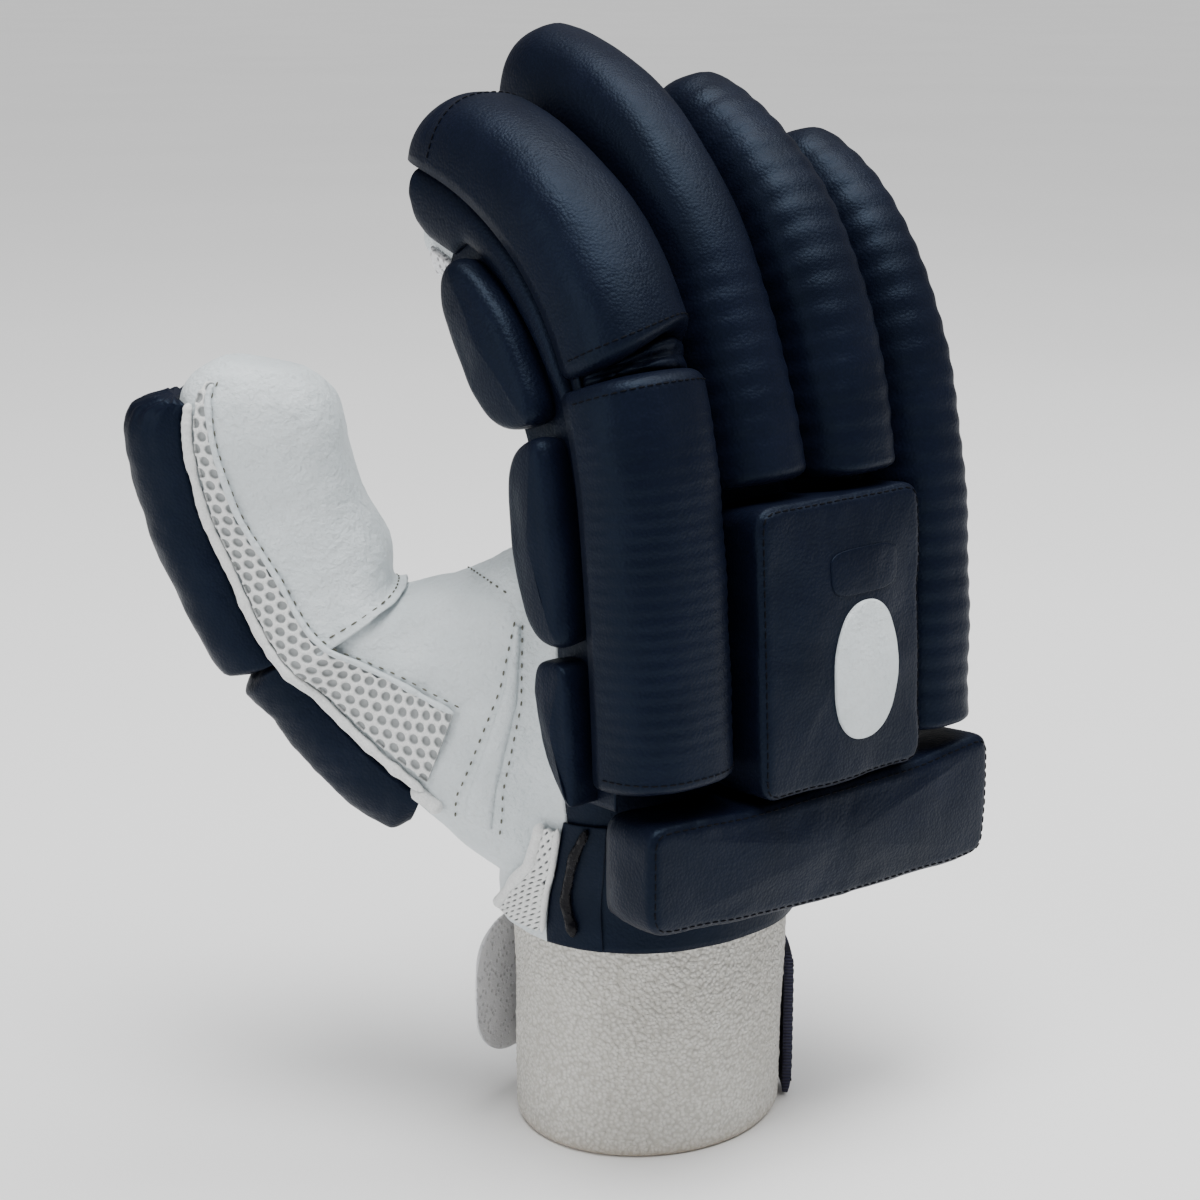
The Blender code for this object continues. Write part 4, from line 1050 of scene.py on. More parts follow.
# Side pads: places along the index finger as shares of its length, and across as shares of the strip's width
SIDE_PADS = (
    ((0.850, -0.62), (0.865, -1.05), (0.835, -1.55), (0.745, -1.80), (0.640, -1.84), (0.565, -1.68),
     (0.530, -1.30), (0.525, -0.42)),
    ((0.515, -0.38), (0.510, -1.05), (0.470, -1.36), (0.405, -1.50), (0.330, -1.46), (0.250, -1.22),
     (0.215, -0.90), (0.210, -0.26)),
    ((0.200, -0.26), (0.198, -0.95), (0.160, -1.10), (0.110, -1.02), (0.045, -0.80), (-0.005, -0.45),
     (-0.012, -0.20)),
)
STRIP_ROWS = (
    (0.045, -0.14), (0.20, -0.16), (0.38, -0.18), (0.52, -0.26), (0.60, -0.40), (0.70, -0.52), (0.80, -0.56),
    (0.865, -0.62), (0.895, -0.95), (0.955, -0.98), (1.000, -0.85), (1.015, -0.60),
)


SIDE_PAD_EDGE = (4.5, 4.0, 2.2)


def on_side(s, across, out):
    """Points beside the index finger: s along it, across its depth, lifted by out towards the thumb."""
    return on_back("index", s, INDEX_EDGE + ROLL_GAP - GAP - out, across)


def make_index_side():
    for k, points in enumerate(SIDE_PADS):
        outline = rounded([(s * LENGTH["index"], d * STRIP_WIDTH) for s, d in points], 6.0)
        grid = pad_skin(outline, SIDE_PAD_THICK - 0.8, SIDE_PAD_EDGE[k], on_side, 91 + 7 * k, crown=1.2, pucker=0.2,
                        count=150, softer=14)
        grid = swollen(grid, 0.8)
        verts, faces = closed_skin(grid)
        piece("index_side_cushion_%d" % (k + 1), verts, faces, NAVY,
              ("index_side_pad_%d" % (k + 1),))
    places = np.linspace(STRIP_ROWS[0][0], STRIP_ROWS[-1][0], 190)
    far = eased(places, *np.transpose(STRIP_ROWS))
    u, v = squared(np.linspace(0, 180, 25), 2.3)
    half = (STRIP_NEAR - far) / 2
    centre = (STRIP_NEAR + far) / 2
    bulge = np.minimum(STRIP_BULGE, 1.1 * half * STRIP_WIDTH)
    under = np.linspace(-1, 1, 8)[1:-1]
    u = np.concatenate([u, under * 0.95])
    v = np.concatenate([v, np.zeros(6)])
    grid = on_side(places[:, None] * LENGTH["index"], (centre[:, None] + half[:, None] * u) * STRIP_WIDTH,
                   bulge[:, None] * v)
    verts, faces = closed_skin(grid)
    piece("index_side_welt", verts, faces, NAVY, ("index_side_strip",))


# Thumb

THUMB_SECTIONS = (
    (0.000, 0.000, 0.000, 0.0, 2.32, 0.94),
    (0.316, 0.220, 0.057, 4.0, 2.43, 0.86),
    (0.490, 0.409, 0.135, 18.0, 1.92, 0.98),
    (0.602, 0.593, 0.191, 38.0, 1.49, 1.04),
    (0.810, 0.812, 0.275, 60.0, 0.86, 1.02),
    (0.850, 0.900, 0.443, 76.0, 1.00, 1.00),
    (0.928, 0.977, 0.625, 86.0, 1.00, 1.00),
    (0.974, 0.996, 0.795, 92.0, 1.00, 0.98),
    (0.982, 0.996, 0.898, 96.0, 0.93, 0.88),
    (0.982, 0.987, 0.955, 98.0, 0.74, 0.70),
    (0.982, 0.977, 0.994, 99.0, 0.46, 0.44),
)


def thumb_frame(row, out=0.0):
    """Centre, long axis, side axis and half-sizes at rows of the thumb's table, or between rows."""
    c = eased(row, np.arange(len(THUMB_SECTIONS)), THUMB_SECTIONS)
    centre = np.array(THUMB_ROOT) + np.array(THUMB_REACH) * c[..., :3]
    tilt = np.radians(c[..., 3])[..., None]
    long_axis = np.cos(tilt) * np.array((0.0, 0.0, -1.0)) + np.sin(tilt) * np.array(THUMB_BACK)
    return (centre, long_axis, np.array(THUMB_SIDE), (c[..., 4] * THUMB_WIDTH / 2 + out)[..., None],
            (c[..., 5] * THUMB_DEPTH / 2 + out)[..., None])


def thumb_point(row, angle, out=0.0):
    """Points on the thumb: angle 0 is its back, 90 its side by the fingers' backs."""
    row, angle, out = np.broadcast_arrays(np.asarray(row, float), np.asarray(angle, float), np.asarray(out, float))
    centre, long_axis, side, half_long, half_side = thumb_frame(row, out)
    u, v = squared(angle, THUMB_POWER)
    return centre + long_axis * half_long * u[..., None] + side * half_side * v[..., None]


def thumb_skin(row):
    """How far the outside of the leather lies over the thumb's form: it steps up at the stall's hem."""
    return np.interp(row, (HEM_ROW - 2 * HEM_LAP, HEM_ROW - HEM_LAP), (0.0, THUMB_WALL + GAP))


def thumb_cushion(name, rows, shares, thick, node, seed):
    steps = np.linspace(rows[0], rows[-1], 110)
    share = eased(steps, rows, shares)
    centre, long_axis, side, half_long, half_side = thumb_frame(steps, thumb_skin(steps) + PAD_BED)
    u, v = squared(np.linspace(0, 180, 41), 2.6)
    under = np.linspace(-1, 1, 12)[1:-1]
    across = np.concatenate([THUMB_PAD_SPREAD * u, THUMB_PAD_SPREAD * under])
    lift = np.concatenate([v, np.zeros(10)])
    bed = (1 - np.abs(across) ** THUMB_POWER) ** (1 / THUMB_POWER)
    out = lift * thick * share[:, None]
    grid = (centre[:, None] + long_axis[:, None] * (half_long[:, None] * bed[:, None] + out[..., None])
            + side * half_side[:, None] * across[:, None])
    relief = ripple(grid, 16.0, seed) * 0.3 + ripple(grid, 5.0, seed + 1) * 0.08
    normal = grid_normals(grid, True, grid.reshape(-1, 3).mean(axis=0))
    gathered = np.exp(-(rows[-1] - steps) / 0.45)[:, None] * (name == "thumb_tip_cushion")
    relief = relief + 0.5 * gathered * np.sin(np.arange(len(across)) * 1.7)
    grid = grid + normal * (relief * np.minimum(lift * 2, 1))[..., None]
    full = swollen(grid, 0.9, hold=0)
    grid = grid + (full - grid) * lift[:, None]
    verts, faces = closed_skin(grid)
    piece(name, verts, faces, NAVY, (node,))


def make_thumb():
    rows = np.concatenate([np.linspace(HEM_ROW - HEM_LAP, 8, 110), np.linspace(8, 10, 40)[1:]])
    turns = np.linspace(0, 360, 120, endpoint=False)
    grow = THUMB_WALL + GAP
    outer = thumb_point(rows[:, None], turns, grow)
    crumple = ripple(outer, 11.0, 31) * 0.22 + ripple(outer, 4.0, 32) * 0.06
    hem = np.exp(-(rows - rows[0]) / 0.10)[:, None]
    crumple = crumple - hem * (0.45 + 0.35 * np.sin(np.radians(turns) * 9 + 1.0))
    outer = outer - grid_normals(outer, True) * crumple[..., None] * 0.8
    inner = thumb_point(rows[:, None], turns, GAP)
    verts, faces = walled(outer, inner, capped=True)
    piece("thumb_leather", verts, faces, WHITE, ("thumb_stall",))
    hem_line = thumb_point(HEM_ROW - HEM_LAP + 0.16, np.linspace(80, 310, 120), grow + 0.2)
    sew("thumb_hem_stitches", [hem_line], 3.0, 1.8, 0.5, GREY_THREAD)
    thumb_cushion("thumb_tip_cushion", (3.98, 4.08, 4.5, 5, 6, 7, 7.5, 7.8), (0.6, 0.95, 1, 1, 1, 1, 0.85, 0.4),
                  THUMB_PAD_THICK, "thumb_pad_tip", 41)
    thumb_cushion("thumb_base_cushion", (2.15, 2.3, 2.6, 3, 3.5, 3.8, 3.92), (0.4, 0.85, 1, 1, 1, 0.95, 0.6),
                  THUMB_BASE_THICK, "thumb_pad_base", 51)
    places = np.linspace(MESH_FOOT_ROW, 7.9, 160)
    centre = thumb_point(places, PIPING_ANGLE, thumb_skin(places) + GAP + PIPING / 2)
    cord("thumb_cord", centre, 1.2 * PIPING / 2, CORD, 59, ("thumb_piping",), wave=0.04)


# Mesh cloth with its holes


CELL_SIDES, CELL_JOIN = 12, 0.02


def knit_cells():
    """The node tree that sets a cell of mesh cloth on every point and joins the cells into one cloth."""
    inputs = (("Cell", "Object"), ("Join", "Float"), ("Yarn", "Material"))
    kinds = {"start": "NodeGroupInput", "end": "NodeGroupOutput", "cell": "GeometryNodeObjectInfo",
             "place": "GeometryNodeInstanceOnPoints", "whole": "GeometryNodeRealizeInstances",
             "join": "GeometryNodeMergeByDistance", "finish": "GeometryNodeSetMaterial"}
    links = (
        ("start", "Geometry", "place", "Points"), ("start", "Cell", "cell", "Object"),
        ("cell", "Geometry", "place", "Instance"), ("place", "Instances", "whole", "Geometry"),
        ("whole", "Geometry", "join", "Geometry"), ("start", "Join", "join", "Distance"),
        ("join", "Geometry", "finish", "Geometry"), ("start", "Yarn", "finish", "Material"),
        ("finish", "Geometry", "end", "Geometry"))
    return node_tree("knit_cells", inputs, kinds, (), links)[0]


KNIT_CELLS = knit_cells()


def knit_cell(pitch, hole, thick, slant):
    """One cell of mesh cloth: a hexagon with a rounded hole, its floor and its back; slant is the hole's form."""
    turns = np.radians(np.arange(CELL_SIDES) * 360 / CELL_SIDES)
    hexa = (turns + math.pi / 6) % (math.pi / 3) - math.pi / 6
    reach = pitch / 2 / np.cos(hexa)
    narrow, lean = slant
    lean = math.radians(lean)
    long_part, short_part = np.cos(turns - lean), narrow * np.sin(turns - lean)
    hole_x = long_part * math.cos(lean) - short_part * math.sin(lean)
    hole_y = long_part * math.sin(lean) + short_part * math.cos(lean)
    loops = [(reach * np.cos(turns), reach * np.sin(turns), 0.0, 0.0)]
    # The last number of each loop is painted shade, from none at the hole's lip to full at its floor; the floor and the
    # back are fully shaded.
    for share, depth, pit in ((0.60, 0.0, 0.0), (0.52, -0.18, 0.1), (0.48, -0.5, 0.75), (0.45, -0.85, 1.0)):
        loops.append((share * hole * hole_x, share * hole * hole_y, depth * thick, pit))
    verts = [(x, y, z) for xs, ys, z, _ in loops for x, y in zip(xs, ys)]
    shaded_pits = [pit for *_, pit in loops for _ in range(CELL_SIDES)]
    faces = grid_faces(len(loops), CELL_SIDES)
    floor = len(verts)
    last = (len(loops) - 1) * CELL_SIDES
    verts.append((0.0, 0.0, -0.85 * thick))
    faces += [(last + k, last + (k + 1) % CELL_SIDES, floor) for k in range(CELL_SIDES)]
    back = len(verts)
    verts += [(x, y, -thick) for x, y in zip(*loops[0][:2])] + [(0.0, 0.0, -thick)]
    faces += [(back + (k + 1) % CELL_SIDES, back + k, back + CELL_SIDES) for k in range(CELL_SIDES)]
    shaded_pits += [1.0] * (len(verts) - len(shaded_pits))
    cell = temporary("mesh_cell", verts, faces)
    cell.data.attributes.new("pit", "FLOAT", "POINT").data.foreach_set("value", shaded_pits)
    return cell


def mesh_cloth(name, base, inside, pitch, hole, thick, slant, node):
    """Mesh cloth laid on a grid of points of what it covers; the grid's columns run across it."""
    normals = grid_normals(base, False, inside)
    across = np.cumsum(np.linalg.norm(np.diff(base, axis=1, prepend=base[:, :1]), axis=2), axis=1)
    middle = base[:, base.shape[1] // 2]
    along = np.cumsum(np.linalg.norm(np.diff(middle, axis=0, prepend=middle[:1]), axis=1))
    rise = pitch * math.sqrt(3) / 2
    centres = []
    for r in range(int(along[-1] / rise) + 1):
        y = (r + 0.3) * rise
        wide = np.interp(y, along, across[:, -1])
        x = (0.1 + 0.5 * (r % 2)) * pitch
        while x < wide + 0.1 * pitch and y < along[-1]:
            centres.append((x, y, 0.0))
            x += pitch
    cell = knit_cell(pitch, hole, thick, slant)
    values = {"Cell": cell, "Join": CELL_JOIN, "Yarn": MESH}
    mesh = grown(temporary(name + "_points", centres, ()), KNIT_CELLS, values)
    bpy.data.objects.remove(cell)
    flat, faces = mesh_arrays(mesh)
    # the painted shade of the holes, carried over to the laid cloth
    shaded_pits = np.empty(len(flat))
    mesh.attributes["pit"].data.foreach_get("value", shaded_pits)
    edges = set(sides(faces))
    lower = {tuple(np.round(p[:2], 2)): k for k, p in enumerate(flat) if p[2] < -0.99 * thick}
    for a, b in edges:
        if (b, a) not in edges and abs(flat[a][2]) < 1e-4 and abs(flat[b][2]) < 1e-4:
            under = [lower.get(tuple(np.round(flat[k][:2], 2))) for k in (a, b)]
            if None not in under:
                faces.append((b, a, under[0], under[1]))
    row = np.interp(flat[:, 1], along, np.arange(len(along)))
    low = np.clip(row.astype(int), 0, len(along) - 2)
    part = (row - low)[:, None]
    wide = across[low] * (1 - part) + across[low + 1] * part
    column = np.array([np.interp(x, w, np.arange(len(w))) for x, w in zip(flat[:, 0], wide)])
    left = np.clip(column.astype(int), 0, base.shape[1] - 2)
    side = (column - left)[:, None]

    def blend(table):
        near = table[low, left] * (1 - side) + table[low, left + 1] * side
        far = table[low + 1, left] * (1 - side) + table[low + 1, left + 1] * side
        return near * (1 - part) + far * part

    laid = blend(base) + blend(normals) * (flat[:, 2:] + thick)
    cloth = piece(name, laid, faces, MESH, (node,), values={"pit": shaded_pits})


def make_mesh_cloths():
    rows = np.linspace(MESH_FOOT_ROW, MESH_TOP_ROW, 200)
    edge = np.interp(rows, *MESH_EDGE)
    turns = MESH_START + (edge - MESH_START)[:, None] * np.linspace(0, 1, 24)
    base = thumb_point(rows[:, None], turns, (thumb_skin(rows) + GAP)[:, None])
    mesh_cloth("thumb_mesh_cloth", base, thumb_frame(rows)[0][:, None], 3.5, 2.5, 1.0, (1.0, 0.0), "thumb_mesh")
    seam = thumb_point(rows, edge + 2.0, thumb_skin(rows) + 0.15)
    trim = thumb_point(rows, edge + 0.4, thumb_skin(rows) + 0.9)
    sew("thumb_mesh_stitches", [seam], 3.0, 1.4, 0.5, GREY_THREAD)
    cord("thumb_mesh_fold", trim, 0.75, WHITE, 61)
    rises = np.linspace(0, WRIST_MESH_ROWS[-1][0], 60)
    places, *bounds = np.transpose(WRIST_MESH_ROWS)
    left, right = (eased(rises, places, bound) for bound in bounds)
    levels = HAND_BOTTOM + 3.0 + rises * WRIST_PAD_HEIGHT
    turns = left[:, None] + (right - left)[:, None] * np.linspace(0, 1, 20)
    base = hand_point(levels[:, None], turns, MESH_LIFT + GAP)
    mesh_cloth("wrist_mesh_cloth", base, np.array((CUFF_X, CUFF_Y, 75.0)), 2.4, 1.35, 1.0, (0.5, 60.0), "wrist_mesh")
    fold = hand_point(levels, left - 1.5, MESH_LIFT + 1.2)
    cord("wrist_mesh_fold", fold, 1.5, CORD, 67)
    cord("wrist_mesh_edge", hand_point(levels, right + 0.8, MESH_LIFT + 0.9), 0.8, CORD, 68)
    levels = np.linspace(HAND_BOTTOM + 0.2, HAND_BOTTOM + 3.0 + WRIST_PAD_HEIGHT, 60)
    foot = np.interp((levels - HAND_BOTTOM - 3.0) / WRIST_PAD_HEIGHT, rises, right) + 1.6
    turns = foot[:, None] + (WRIST_FLAP_END - foot)[:, None] * np.linspace(0, 1, 24)
    flap, bed = (hand_point(levels[:, None], turns, out) for out in (0.65, 0.05))
    verts, faces = walled(flap, bed, wrap=False)
    piece("wrist_side_flap", verts, faces, NAVY)


def cord(name, line, radius, mat, seed, replaced=(), around=12, wave=0.0):
    """A soft round edge or cord along a line of points."""
    ahead = np.gradient(line, axis=0)
    ahead /= np.linalg.norm(ahead, axis=1, keepdims=True) + 1e-9
    first = np.cross(ahead, (0.35, 0.2, 0.91))
    first /= np.linalg.norm(first, axis=1, keepdims=True) + 1e-9
    second = np.cross(ahead, first)
    turns = np.linspace(0, 2 * math.pi, around, endpoint=False)
    ends = np.minimum(1, np.sqrt(np.minimum(np.arange(len(line)), np.arange(len(line))[::-1]) / 4.0 + 0.05))
    size = radius * ends * (1 + 0.12 * ripple(line, 6.0, seed)) * (1 + wave * np.sin(np.arange(len(line)) * 1.4))
    grid = line[:, None] + size[:, None, None] * (np.cos(turns)[:, None] * first[:, None]
                                                 + np.sin(turns)[:, None] * second[:, None])
    verts, faces = closed_skin(grid)
    return piece(name, verts, faces, mat, replaced)


# Hand


def hand_point(z, angle, out=0.0):
    """Points round the hand at a height: angle 180 is the index side, 270 its back."""
    z, angle, out = np.broadcast_arrays(np.asarray(z, float), np.asarray(angle, float), np.asarray(out, float))
    rise = np.clip((z - HAND_BOTTOM) / (HAND_TOP - HAND_BOTTOM), 0, 1)
    part = eased(rise, [r[0] for r in HAND_SECTIONS], HAND_SECTIONS)
    over = CUFF_FLARE + CUFF_EASE + HAND_WALL
    wrist = (CUFF_X, CUFF_HALF_WIDTH + over, CUFF_HALF_DEPTH + over)
    broad = ((INDEX_EDGE + HAND_EDGE) / 2, (HAND_EDGE - INDEX_EDGE) / 2 - ROLL_GAP, HAND_DEPTH / 2)
    x, half_width, half_depth = (a + part[..., k + 1] * (b - a) for k, (a, b) in enumerate(zip(wrist, broad)))
    u, v = squared(angle, part[..., 4])
    return np.stack([x + (half_width + out) * u, back_of_hand(z) + half_depth + (half_depth + out) * v, z], axis=-1)


# Creases of the palm and the thumb's web, and the welt seam, in the photograph's pixels
PALM_CREASES = (
    (((405, 640), (430, 625), (462, 622), (480, 640)), 1.5, 5.0),
    (((440, 556), (470, 568), (505, 592)), 0.9, 1.6),
    (((400, 700), (430, 690), (470, 700)), 0.7, 3.5),
    (((430, 745), (455, 720), (488, 690)), 0.6, 3.0),
    (((455, 800), (470, 770), (480, 730)), 0.5, 2.5),
)
WEB_SEAM = ((440, 556), (470, 568), (505, 592))
WELT_LEFT = ((516, 625), (504, 694), (480, 762), (466, 801), (465, 818))
WELT_RIGHT = ((521, 627), (517, 703), (505, 753), (496, 790), (492, 829))
FOOT_TAB = ((414, 786), (443, 809))


def make_hand():
    turns = np.linspace(0, 360, 120, endpoint=False)
    levels = np.linspace(HAND_BOTTOM, HAND_TOP, 60)
    hand = hand_point(levels[:, None], turns)
    hand = np.concatenate([hand[:1] - (0, 0, 5.0), hand, hand[-1:] + (0, 0, 5.0)])
    root = thumb_point(np.linspace(0, HEM_ROW + 0.1, 60)[:, None], turns)
    verts, faces = skinned([closed_skin(hand), closed_skin(root)], 14)
    tree = BVHTree.FromPolygons(verts.tolist(), faces)
    shift = 0.22 * ripple(verts, 13.0, 141) + 0.07 * ripple(verts, 5.0, 142)
    for pixels, depth, width in PALM_CREASES:
        line, _ = under_pixels(tree, pixels, 30)
        if len(line):
            shift += groove(verts, line, depth, width)
    verts = verts - skin_normals(verts, faces) * shift[:, None]
    tree = BVHTree.FromPolygons(verts.tolist(), faces)
    end, _, _, _, _ = thumb_frame(np.array((HEM_ROW - 0.1, HEM_ROW)))
    palm = cut_skin(verts, faces, (
        ((0, SIDE_WALL_Y, 0), (0, -1, 0), None), ((0, 0, HAND_TOP), (0, 0, 1), lambda p: p.y < 14),
        ((0, 0, HAND_BOTTOM), (0, 0, -1), None),
        (tuple(end[0]), tuple(end[1] - end[0]), lambda p: p.y > 30 and p.z > 100)))
    verts_p, faces_p = thickened(*palm, HAND_WALL)
    piece("palm_leather", verts_p, faces_p, WHITE, ("palm_body",))
    left, left_out = under_pixels(tree, WELT_LEFT, 60)
    right, right_out = under_pixels(tree, WELT_RIGHT, 60)
    across = np.linspace(0, 1, 9)
    band = left[:, None] + (right - left)[:, None] * across[:, None]
    out = (left_out[:, None] + right_out[:, None]) / 2
    top = band + out * (0.25 + 0.9 * np.sqrt(np.clip(1 - (2 * across - 1) ** 2, 0, 1)))[:, None]
    verts_w, faces_w = walled(top, band - out * 0.6, wrap=False)
    piece("palm_welt", verts_w, faces_w, WHITE)
    web, _ = under_pixels(tree, WEB_SEAM, 30, 0.1)
    beside_left = left + left_out * 0.15 - (right - left) * 0.35
    beside_right = right + right_out * 0.15 + (right - left) * 0.30
    sew("palm_stitches", [beside_left, beside_right, web], 3.0, 1.3, 0.55, GREY_THREAD)
    tab, _ = under_pixels(tree, FOOT_TAB, 24, 0.9)
    cord("piping_tab", tab, 1.9, CORD, 77)
    verts, faces = skinned([closed_skin(hand)], 6)
    verts = verts - skin_normals(verts, faces) * (0.12 * ripple(verts, 16.0, 151))[:, None]
    back = cut_skin(verts, faces, (
        ((0, SIDE_WALL_Y - GAP, 0), (0, 1, 0), None), ((0, 0, HAND_TOP), (0, 0, 1), None),
        ((0, 0, HAND_BOTTOM), (0, 0, -1), None)))
    verts_b, faces_b = thickened(*back, HAND_WALL)
    piece("back_leather", verts_b, faces_b, NAVY, ("back_panel",))
    rises = np.linspace(0.02, 0.98, 60)
    path = hand_point(HAND_BOTTOM + 3.0 + rises * WRIST_PAD_HEIGHT, eased(rises, *np.transpose(BINDING_ROWS)),
                      GAP + BINDING / 2)
    cord("wrist_gloss_binding", path, BINDING / 2, GLOSS, 88, ("wrist_binding",), around=16)


# Finger stalls


def stall_point(finger, s, angle, out, scale=1.0):
    """Points round a finger stall: angle 90 faces the roll, 180 the thumb side."""
    left, right = EDGES[finger]
    half, deep = (right - left) / 2 - STALL_INSET, STALL_DEPTH / 2
    u, v = squared(angle, STALL_POWER)
    return on_back(finger, s, (left + right) / 2 + (half * scale + out) * u, -GAP - deep + (deep * scale + out) * v)


def make_stalls():
    turns = np.linspace(0, 360, 90, endpoint=False)
    for k, finger in enumerate(EDGES):
        length = LENGTH[finger]
        s = np.concatenate([np.linspace(STALL_FOOT, 0.94 * length, 70), 0.94 * length
                            + (0.06 * length + 5.0) * np.sin(np.linspace(0, math.pi / 2, 16)[1:])])
        scale = np.interp(s, (0.94 * length, length + 2.0, length + 4.0, length + 5.0), (1.0, 0.90, 0.72, 0.55))
        outer = stall_point(finger, s[:, None], turns, 0.0, scale[:, None])
        outer = outer - grid_normals(outer, True) * (0.15 * ripple(outer, 12.0, 160 + k))[..., None]
        inner = stall_point(finger, np.minimum(s, length + 3.0)[:, None] - 0.01 * np.arange(len(s))[::-1, None], turns,
                            -STALL_WALL, scale[:, None])
        for grid in (outer, inner):
            grid[..., 2] = np.maximum(grid[..., 2], HAND_TOP + GAP)
        verts, faces = walled(outer, inner, capped=True)
        piece(finger + "_stall_leather", verts, faces, WHITE, (finger + "_stall",))
    places = np.linspace(0.89, 0.965, 26)[:, None] * LENGTH["index"]
    round_side = np.linspace(193, 236, 30)
    bulge = 1.1 * np.sqrt(np.clip(1 - np.linspace(-1, 1, 26) ** 4, 0, 1))[:, None]
    outer = stall_point("index", places, round_side, GAP + 0.5 + bulge)
    outer = outer + 0.12 * grid_normals(outer, False) * ripple(outer, 2.2, 170)[..., None]
    verts, faces = walled(outer, stall_point("index", places, round_side, GAP), wrap=False)
    piece("index_knit_patch", verts, faces, PATCH_KNIT, ("knit_patch",))
    edge = stall_point("index", 0.874 * LENGTH["index"], np.linspace(193, 236, 30), GAP + 1.0)
    cord("knit_patch_edge", edge, 0.8, DARK_THREAD, 171)
    places = np.linspace(-0.01, 0.90, 120)
    far = np.array([min((d for points in SIDE_PADS for s, d in points if abs(s - place) < 0.09), default=-0.7)
                    for place in places])
    for _ in range(12):
        far[1:-1] = (far[:-2] + 2 * far[1:-1] + far[2:]) / 4
    share = np.linspace(0, 1, 20)
    reach = (0.15 + share * (far[:, None] * 0.78 - 0.15)) * STRIP_WIDTH
    panel_out = on_side(places[:, None] * LENGTH["index"], reach, 0.55)
    verts, faces = walled(panel_out, on_side(places[:, None] * LENGTH["index"], reach, -0.05), wrap=False)
    piece("index_side_lining", verts, faces, NAVY)
    xs, zs = np.meshgrid(np.linspace(MIDDLE_EDGE + 1.5, LITTLE_EDGE - 1.5, 40), np.linspace(HAND_TOP + 1, 176, 12))
    verts, faces = walled(on_hand(xs, zs, 0.35), on_hand(xs, zs, -0.2), wrap=False)
    piece("knuckle_lining", verts, faces, NAVY)


# Cuff


def make_cuff():
    slit = math.degrees(CUFF_SLIT / CUFF_HALF_WIDTH) / 2
    turns = np.linspace(90 + slit, 450 - slit, 320)
    z = np.concatenate([RIM_ROUND * (1 - np.cos(np.linspace(0, math.pi / 2, 9)[:-1])),
                        np.linspace(RIM_ROUND, CUFF_HEIGHT, 70)])
    c, s = np.cos(np.radians(turns)), np.sin(np.radians(turns))
    round_in = RIM_ROUND * (1 - np.sqrt(np.clip(1 - ((RIM_ROUND - z) / RIM_ROUND) ** 2, 0, 1))) * (z < RIM_ROUND) * 0.7

    def ring(out):
        flare = CUFF_FLARE * z[:, None] / CUFF_HEIGHT + out
        return np.stack(np.broadcast_arrays(CUFF_X + (CUFF_HALF_WIDTH + flare) * c,
                                            CUFF_Y + (CUFF_HALF_DEPTH + flare) * s, z[:, None]), axis=-1)

    outer = ring(-round_in[:, None])
    nubs = 0.14 * ripple(outer, 1.7, 201, 20) + 0.35 * ripple(outer, 30.0, 202)
    fade = np.clip(z / 3.0, 0, 1)[:, None]
    outer = outer + grid_normals(outer, False) * (nubs * fade)[..., None]
    inner = ring(-CUFF_WALL + 0.5 * round_in[:, None])
    verts, faces = walled(outer, inner, wrap=False)
    # painted shade along the bottom rim: 1 at the rim, fading within a few millimetres up the cuff
    rim = np.tile(np.repeat(np.exp(-z / 1.6), len(turns)), 2)
    piece("cuff_towelling", verts, faces, TERRY, ("cuff",), values={"rim": rim})
    turns = np.radians(np.linspace(STRAP_START, STRAP_JOIN, 140))
    nx, ny = np.cos(turns) / CUFF_HALF_WIDTH, np.sin(turns) / CUFF_HALF_DEPTH
    size = np.hypot(nx, ny)
    normal = np.stack([nx / size, ny / size], axis=-1)
    place = np.stack([CUFF_X + CUFF_HALF_WIDTH * np.cos(turns), CUFF_Y + CUFF_HALF_DEPTH * np.sin(turns)], axis=-1)
    rise = np.linspace(0, 1, 22)
    low = STRAP_RISE + STRAP_CLIMB * np.linspace(0, 1, 140)
    clear = GAP + CUFF_FLARE
    proud = clear + STRAP_THICK * (0.6 + 0.4 * (1 - np.abs(2 * rise - 1) ** 8))

    def strap(out):
        flat = place[:, None] + normal[:, None] * np.broadcast_to(out, (140, 22))[..., None]
        return np.concatenate([flat, (low[:, None] + STRAP_HEIGHT * rise)[..., None]], axis=-1)

    verts, faces = walled(strap(proud), strap(np.full(22, clear)), wrap=False)
    piece("cuff_strap_band", verts, faces, WEAVE, ("cuff_strap",))
    hem = strap(proud + 0.05)
    sew("strap_stitches", [hem[:, 2], hem[:, -3], hem[3, 2:-2]], 2.6, 1.9, 0.4, DARK_THREAD)
    along = np.array((-normal[-1][1], normal[-1][0]))
    start = place[-1] + normal[-1] * clear + along * GAP
    share = np.sin(np.linspace(0, math.pi / 2, 70))
    reach = share * TAB_REACH
    past = np.clip((reach - (TAB_REACH - TAB_CORNER)) / TAB_CORNER, 0, 1)
    cut = TAB_CORNER * (1 - np.sqrt(np.clip(1 - past ** 2, 0, 1)))
    foot = start + along * reach[:, None] - normal[-1] * (TAB_CURL * reach * share)[:, None]
    rise = np.linspace(0, 1, 30)
    puff = STRAP_THICK * (0.35 + 0.65 * np.sqrt(np.clip(1 - (2 * rise - 1) ** 6, 0, 1)))
    puff = puff * np.sqrt(np.clip(1 - share ** 14, 0.1, 1))[:, None]
    base = STRAP_RISE + STRAP_CLIMB
    height = (base + cut)[:, None] + (TAB_HEIGHT - 2 * cut)[:, None] * rise

    def tab(out):
        flat = foot[:, None] + normal[-1] * np.broadcast_to(out, height.shape)[..., None]
        return np.concatenate([flat, height[..., None]], axis=-1)

    verts, faces = walled(tab(puff), tab(np.zeros(height.shape)), wrap=False)
    piece("strap_knit_tab", verts, faces, KNIT, ("strap_tab",))


def main():
    make_hand()
    make_stalls()
    make_cuff()
    make_rolls()
    make_back_pads()
    make_index_side()
    make_thumb()
    make_mesh_cloths()


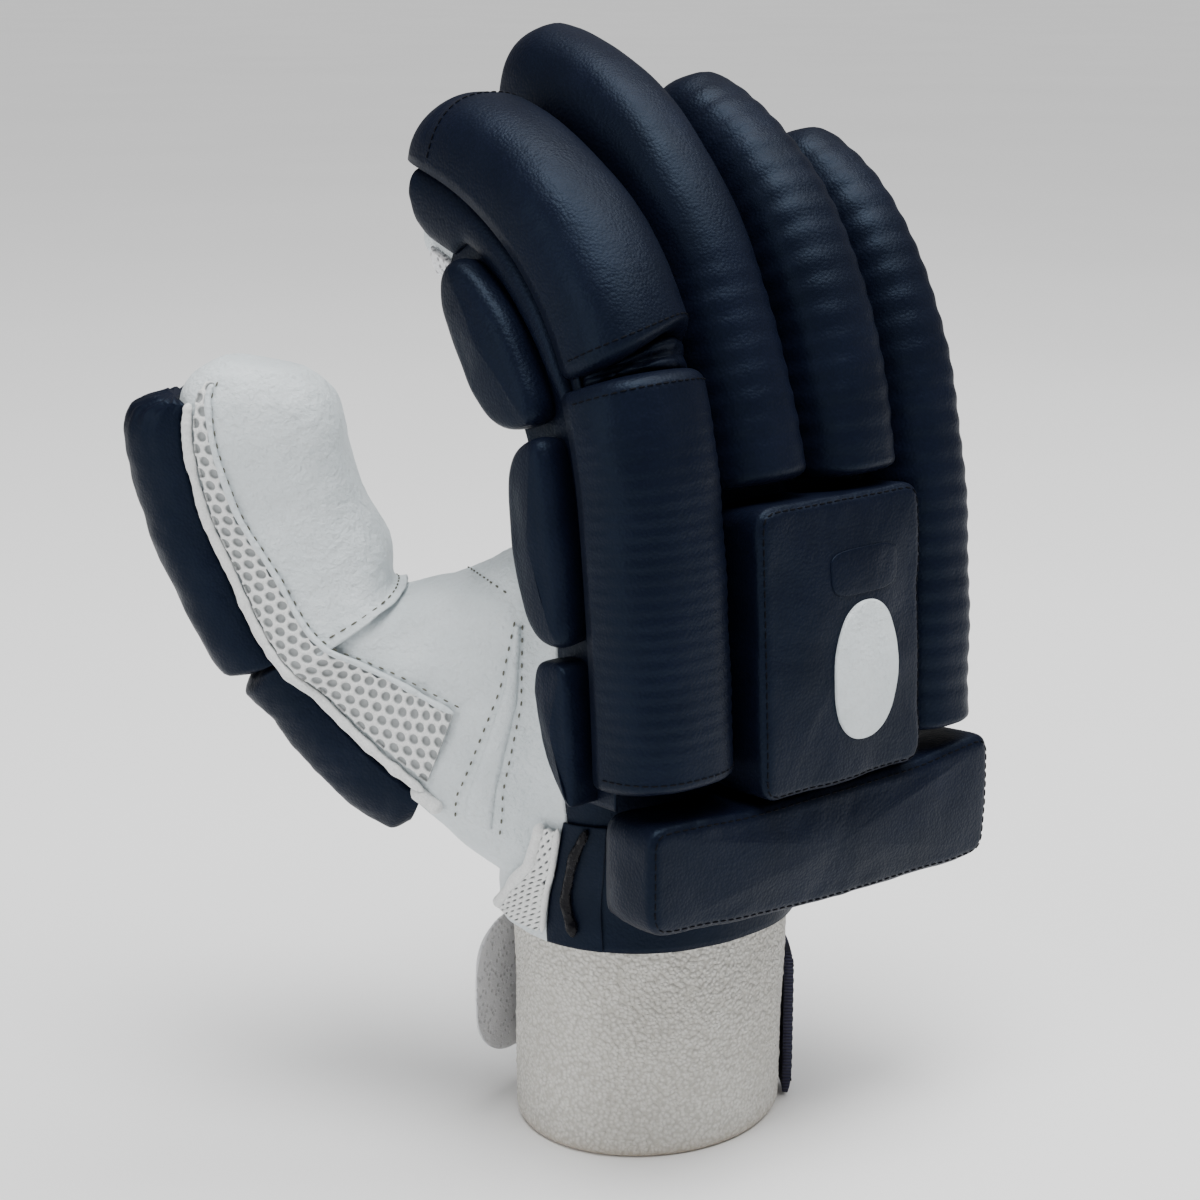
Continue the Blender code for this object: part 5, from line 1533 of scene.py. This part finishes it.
def studio():
    scene = bpy.context.scene
    back = Vector(camera_axes()[0])
    data = bpy.data.cameras.new("camera")
    data.sensor_width = 36.0
    data.lens = VIEW_DISTANCE / VIEW_PIXEL / PHOTO_SIZE * data.sensor_width
    data.clip_start = 0.01
    camera = add("camera", data)
    camera.location = Vector(settle(VIEW_TARGET)) + back * VIEW_DISTANCE * MM
    camera.rotation_euler = back.to_track_quat("Z", "Y").to_euler()
    scene.camera = camera
    half = 16.0
    mesh = bpy.data.meshes.new("floor")
    mesh.from_pydata([(-half, -half, 0), (half, -half, 0), (half, half, 0), (-half, half, 0)], [], [(0, 1, 2, 3)])
    floor_mat, tree, shader, where = new_material("pale_floor", (0.86, 0.86, 0.86), 0.7)
    pale = ramp_node(tree, noise_node(tree, where, 400.0), ((0.3, (0.90, 0.90, 0.90)), (0.7, (0.93, 0.93, 0.93))))
    tree.links.new(pale, shader.inputs["Base Color"])
    mesh.materials.append(floor_mat)
    add("floor", mesh)
    world = bpy.data.worlds.new("studio")
    world.use_nodes = True
    world.node_tree.nodes["Background"].inputs["Color"].default_value = (1.0, 1.0, 1.0, 1.0)
    world.node_tree.nodes["Background"].inputs["Strength"].default_value = 0.25
    scene.world = world
    overhead = bpy.data.lights.new("overhead", "SUN")
    overhead.energy = 2.2
    overhead.angle = math.radians(30)
    add("overhead", overhead).rotation_euler = Vector((-0.14, -0.14, 0.97)).to_track_quat("Z", "Y").to_euler()
    for name, place, size, watts in (("side", (-1.5, 0.1, 0.6), 0.9, 7.0), ("softbox", (0.25, -0.26, 1.32), 1.3, 23.0)):
        light = bpy.data.lights.new(name, "AREA")
        light.shape = "DISK"
        light.size = size
        light.energy = watts
        lamp = add(name, light)
        lamp.location = place
        lamp.rotation_euler = (Vector(place) - Vector(LIT_POINT)).to_track_quat("Z", "Y").to_euler()


for node in frame["nodes"].values():
    slot_name = next(s["material_slot"] for s in frame["record"]["subparts"] if s["node"] == node.name)
    finish = {"white_leather": WHITE, "navy_leather": NAVY, "white_mesh": MESH, "terry": TERRY, "grey_knit": KNIT,
              "strap_navy": WEAVE, "white_piping": CORD, "black_binding": GLOSS}[slot_name]
    node.data.materials.clear()
    node.data.materials.append(finish)

main()
studio()
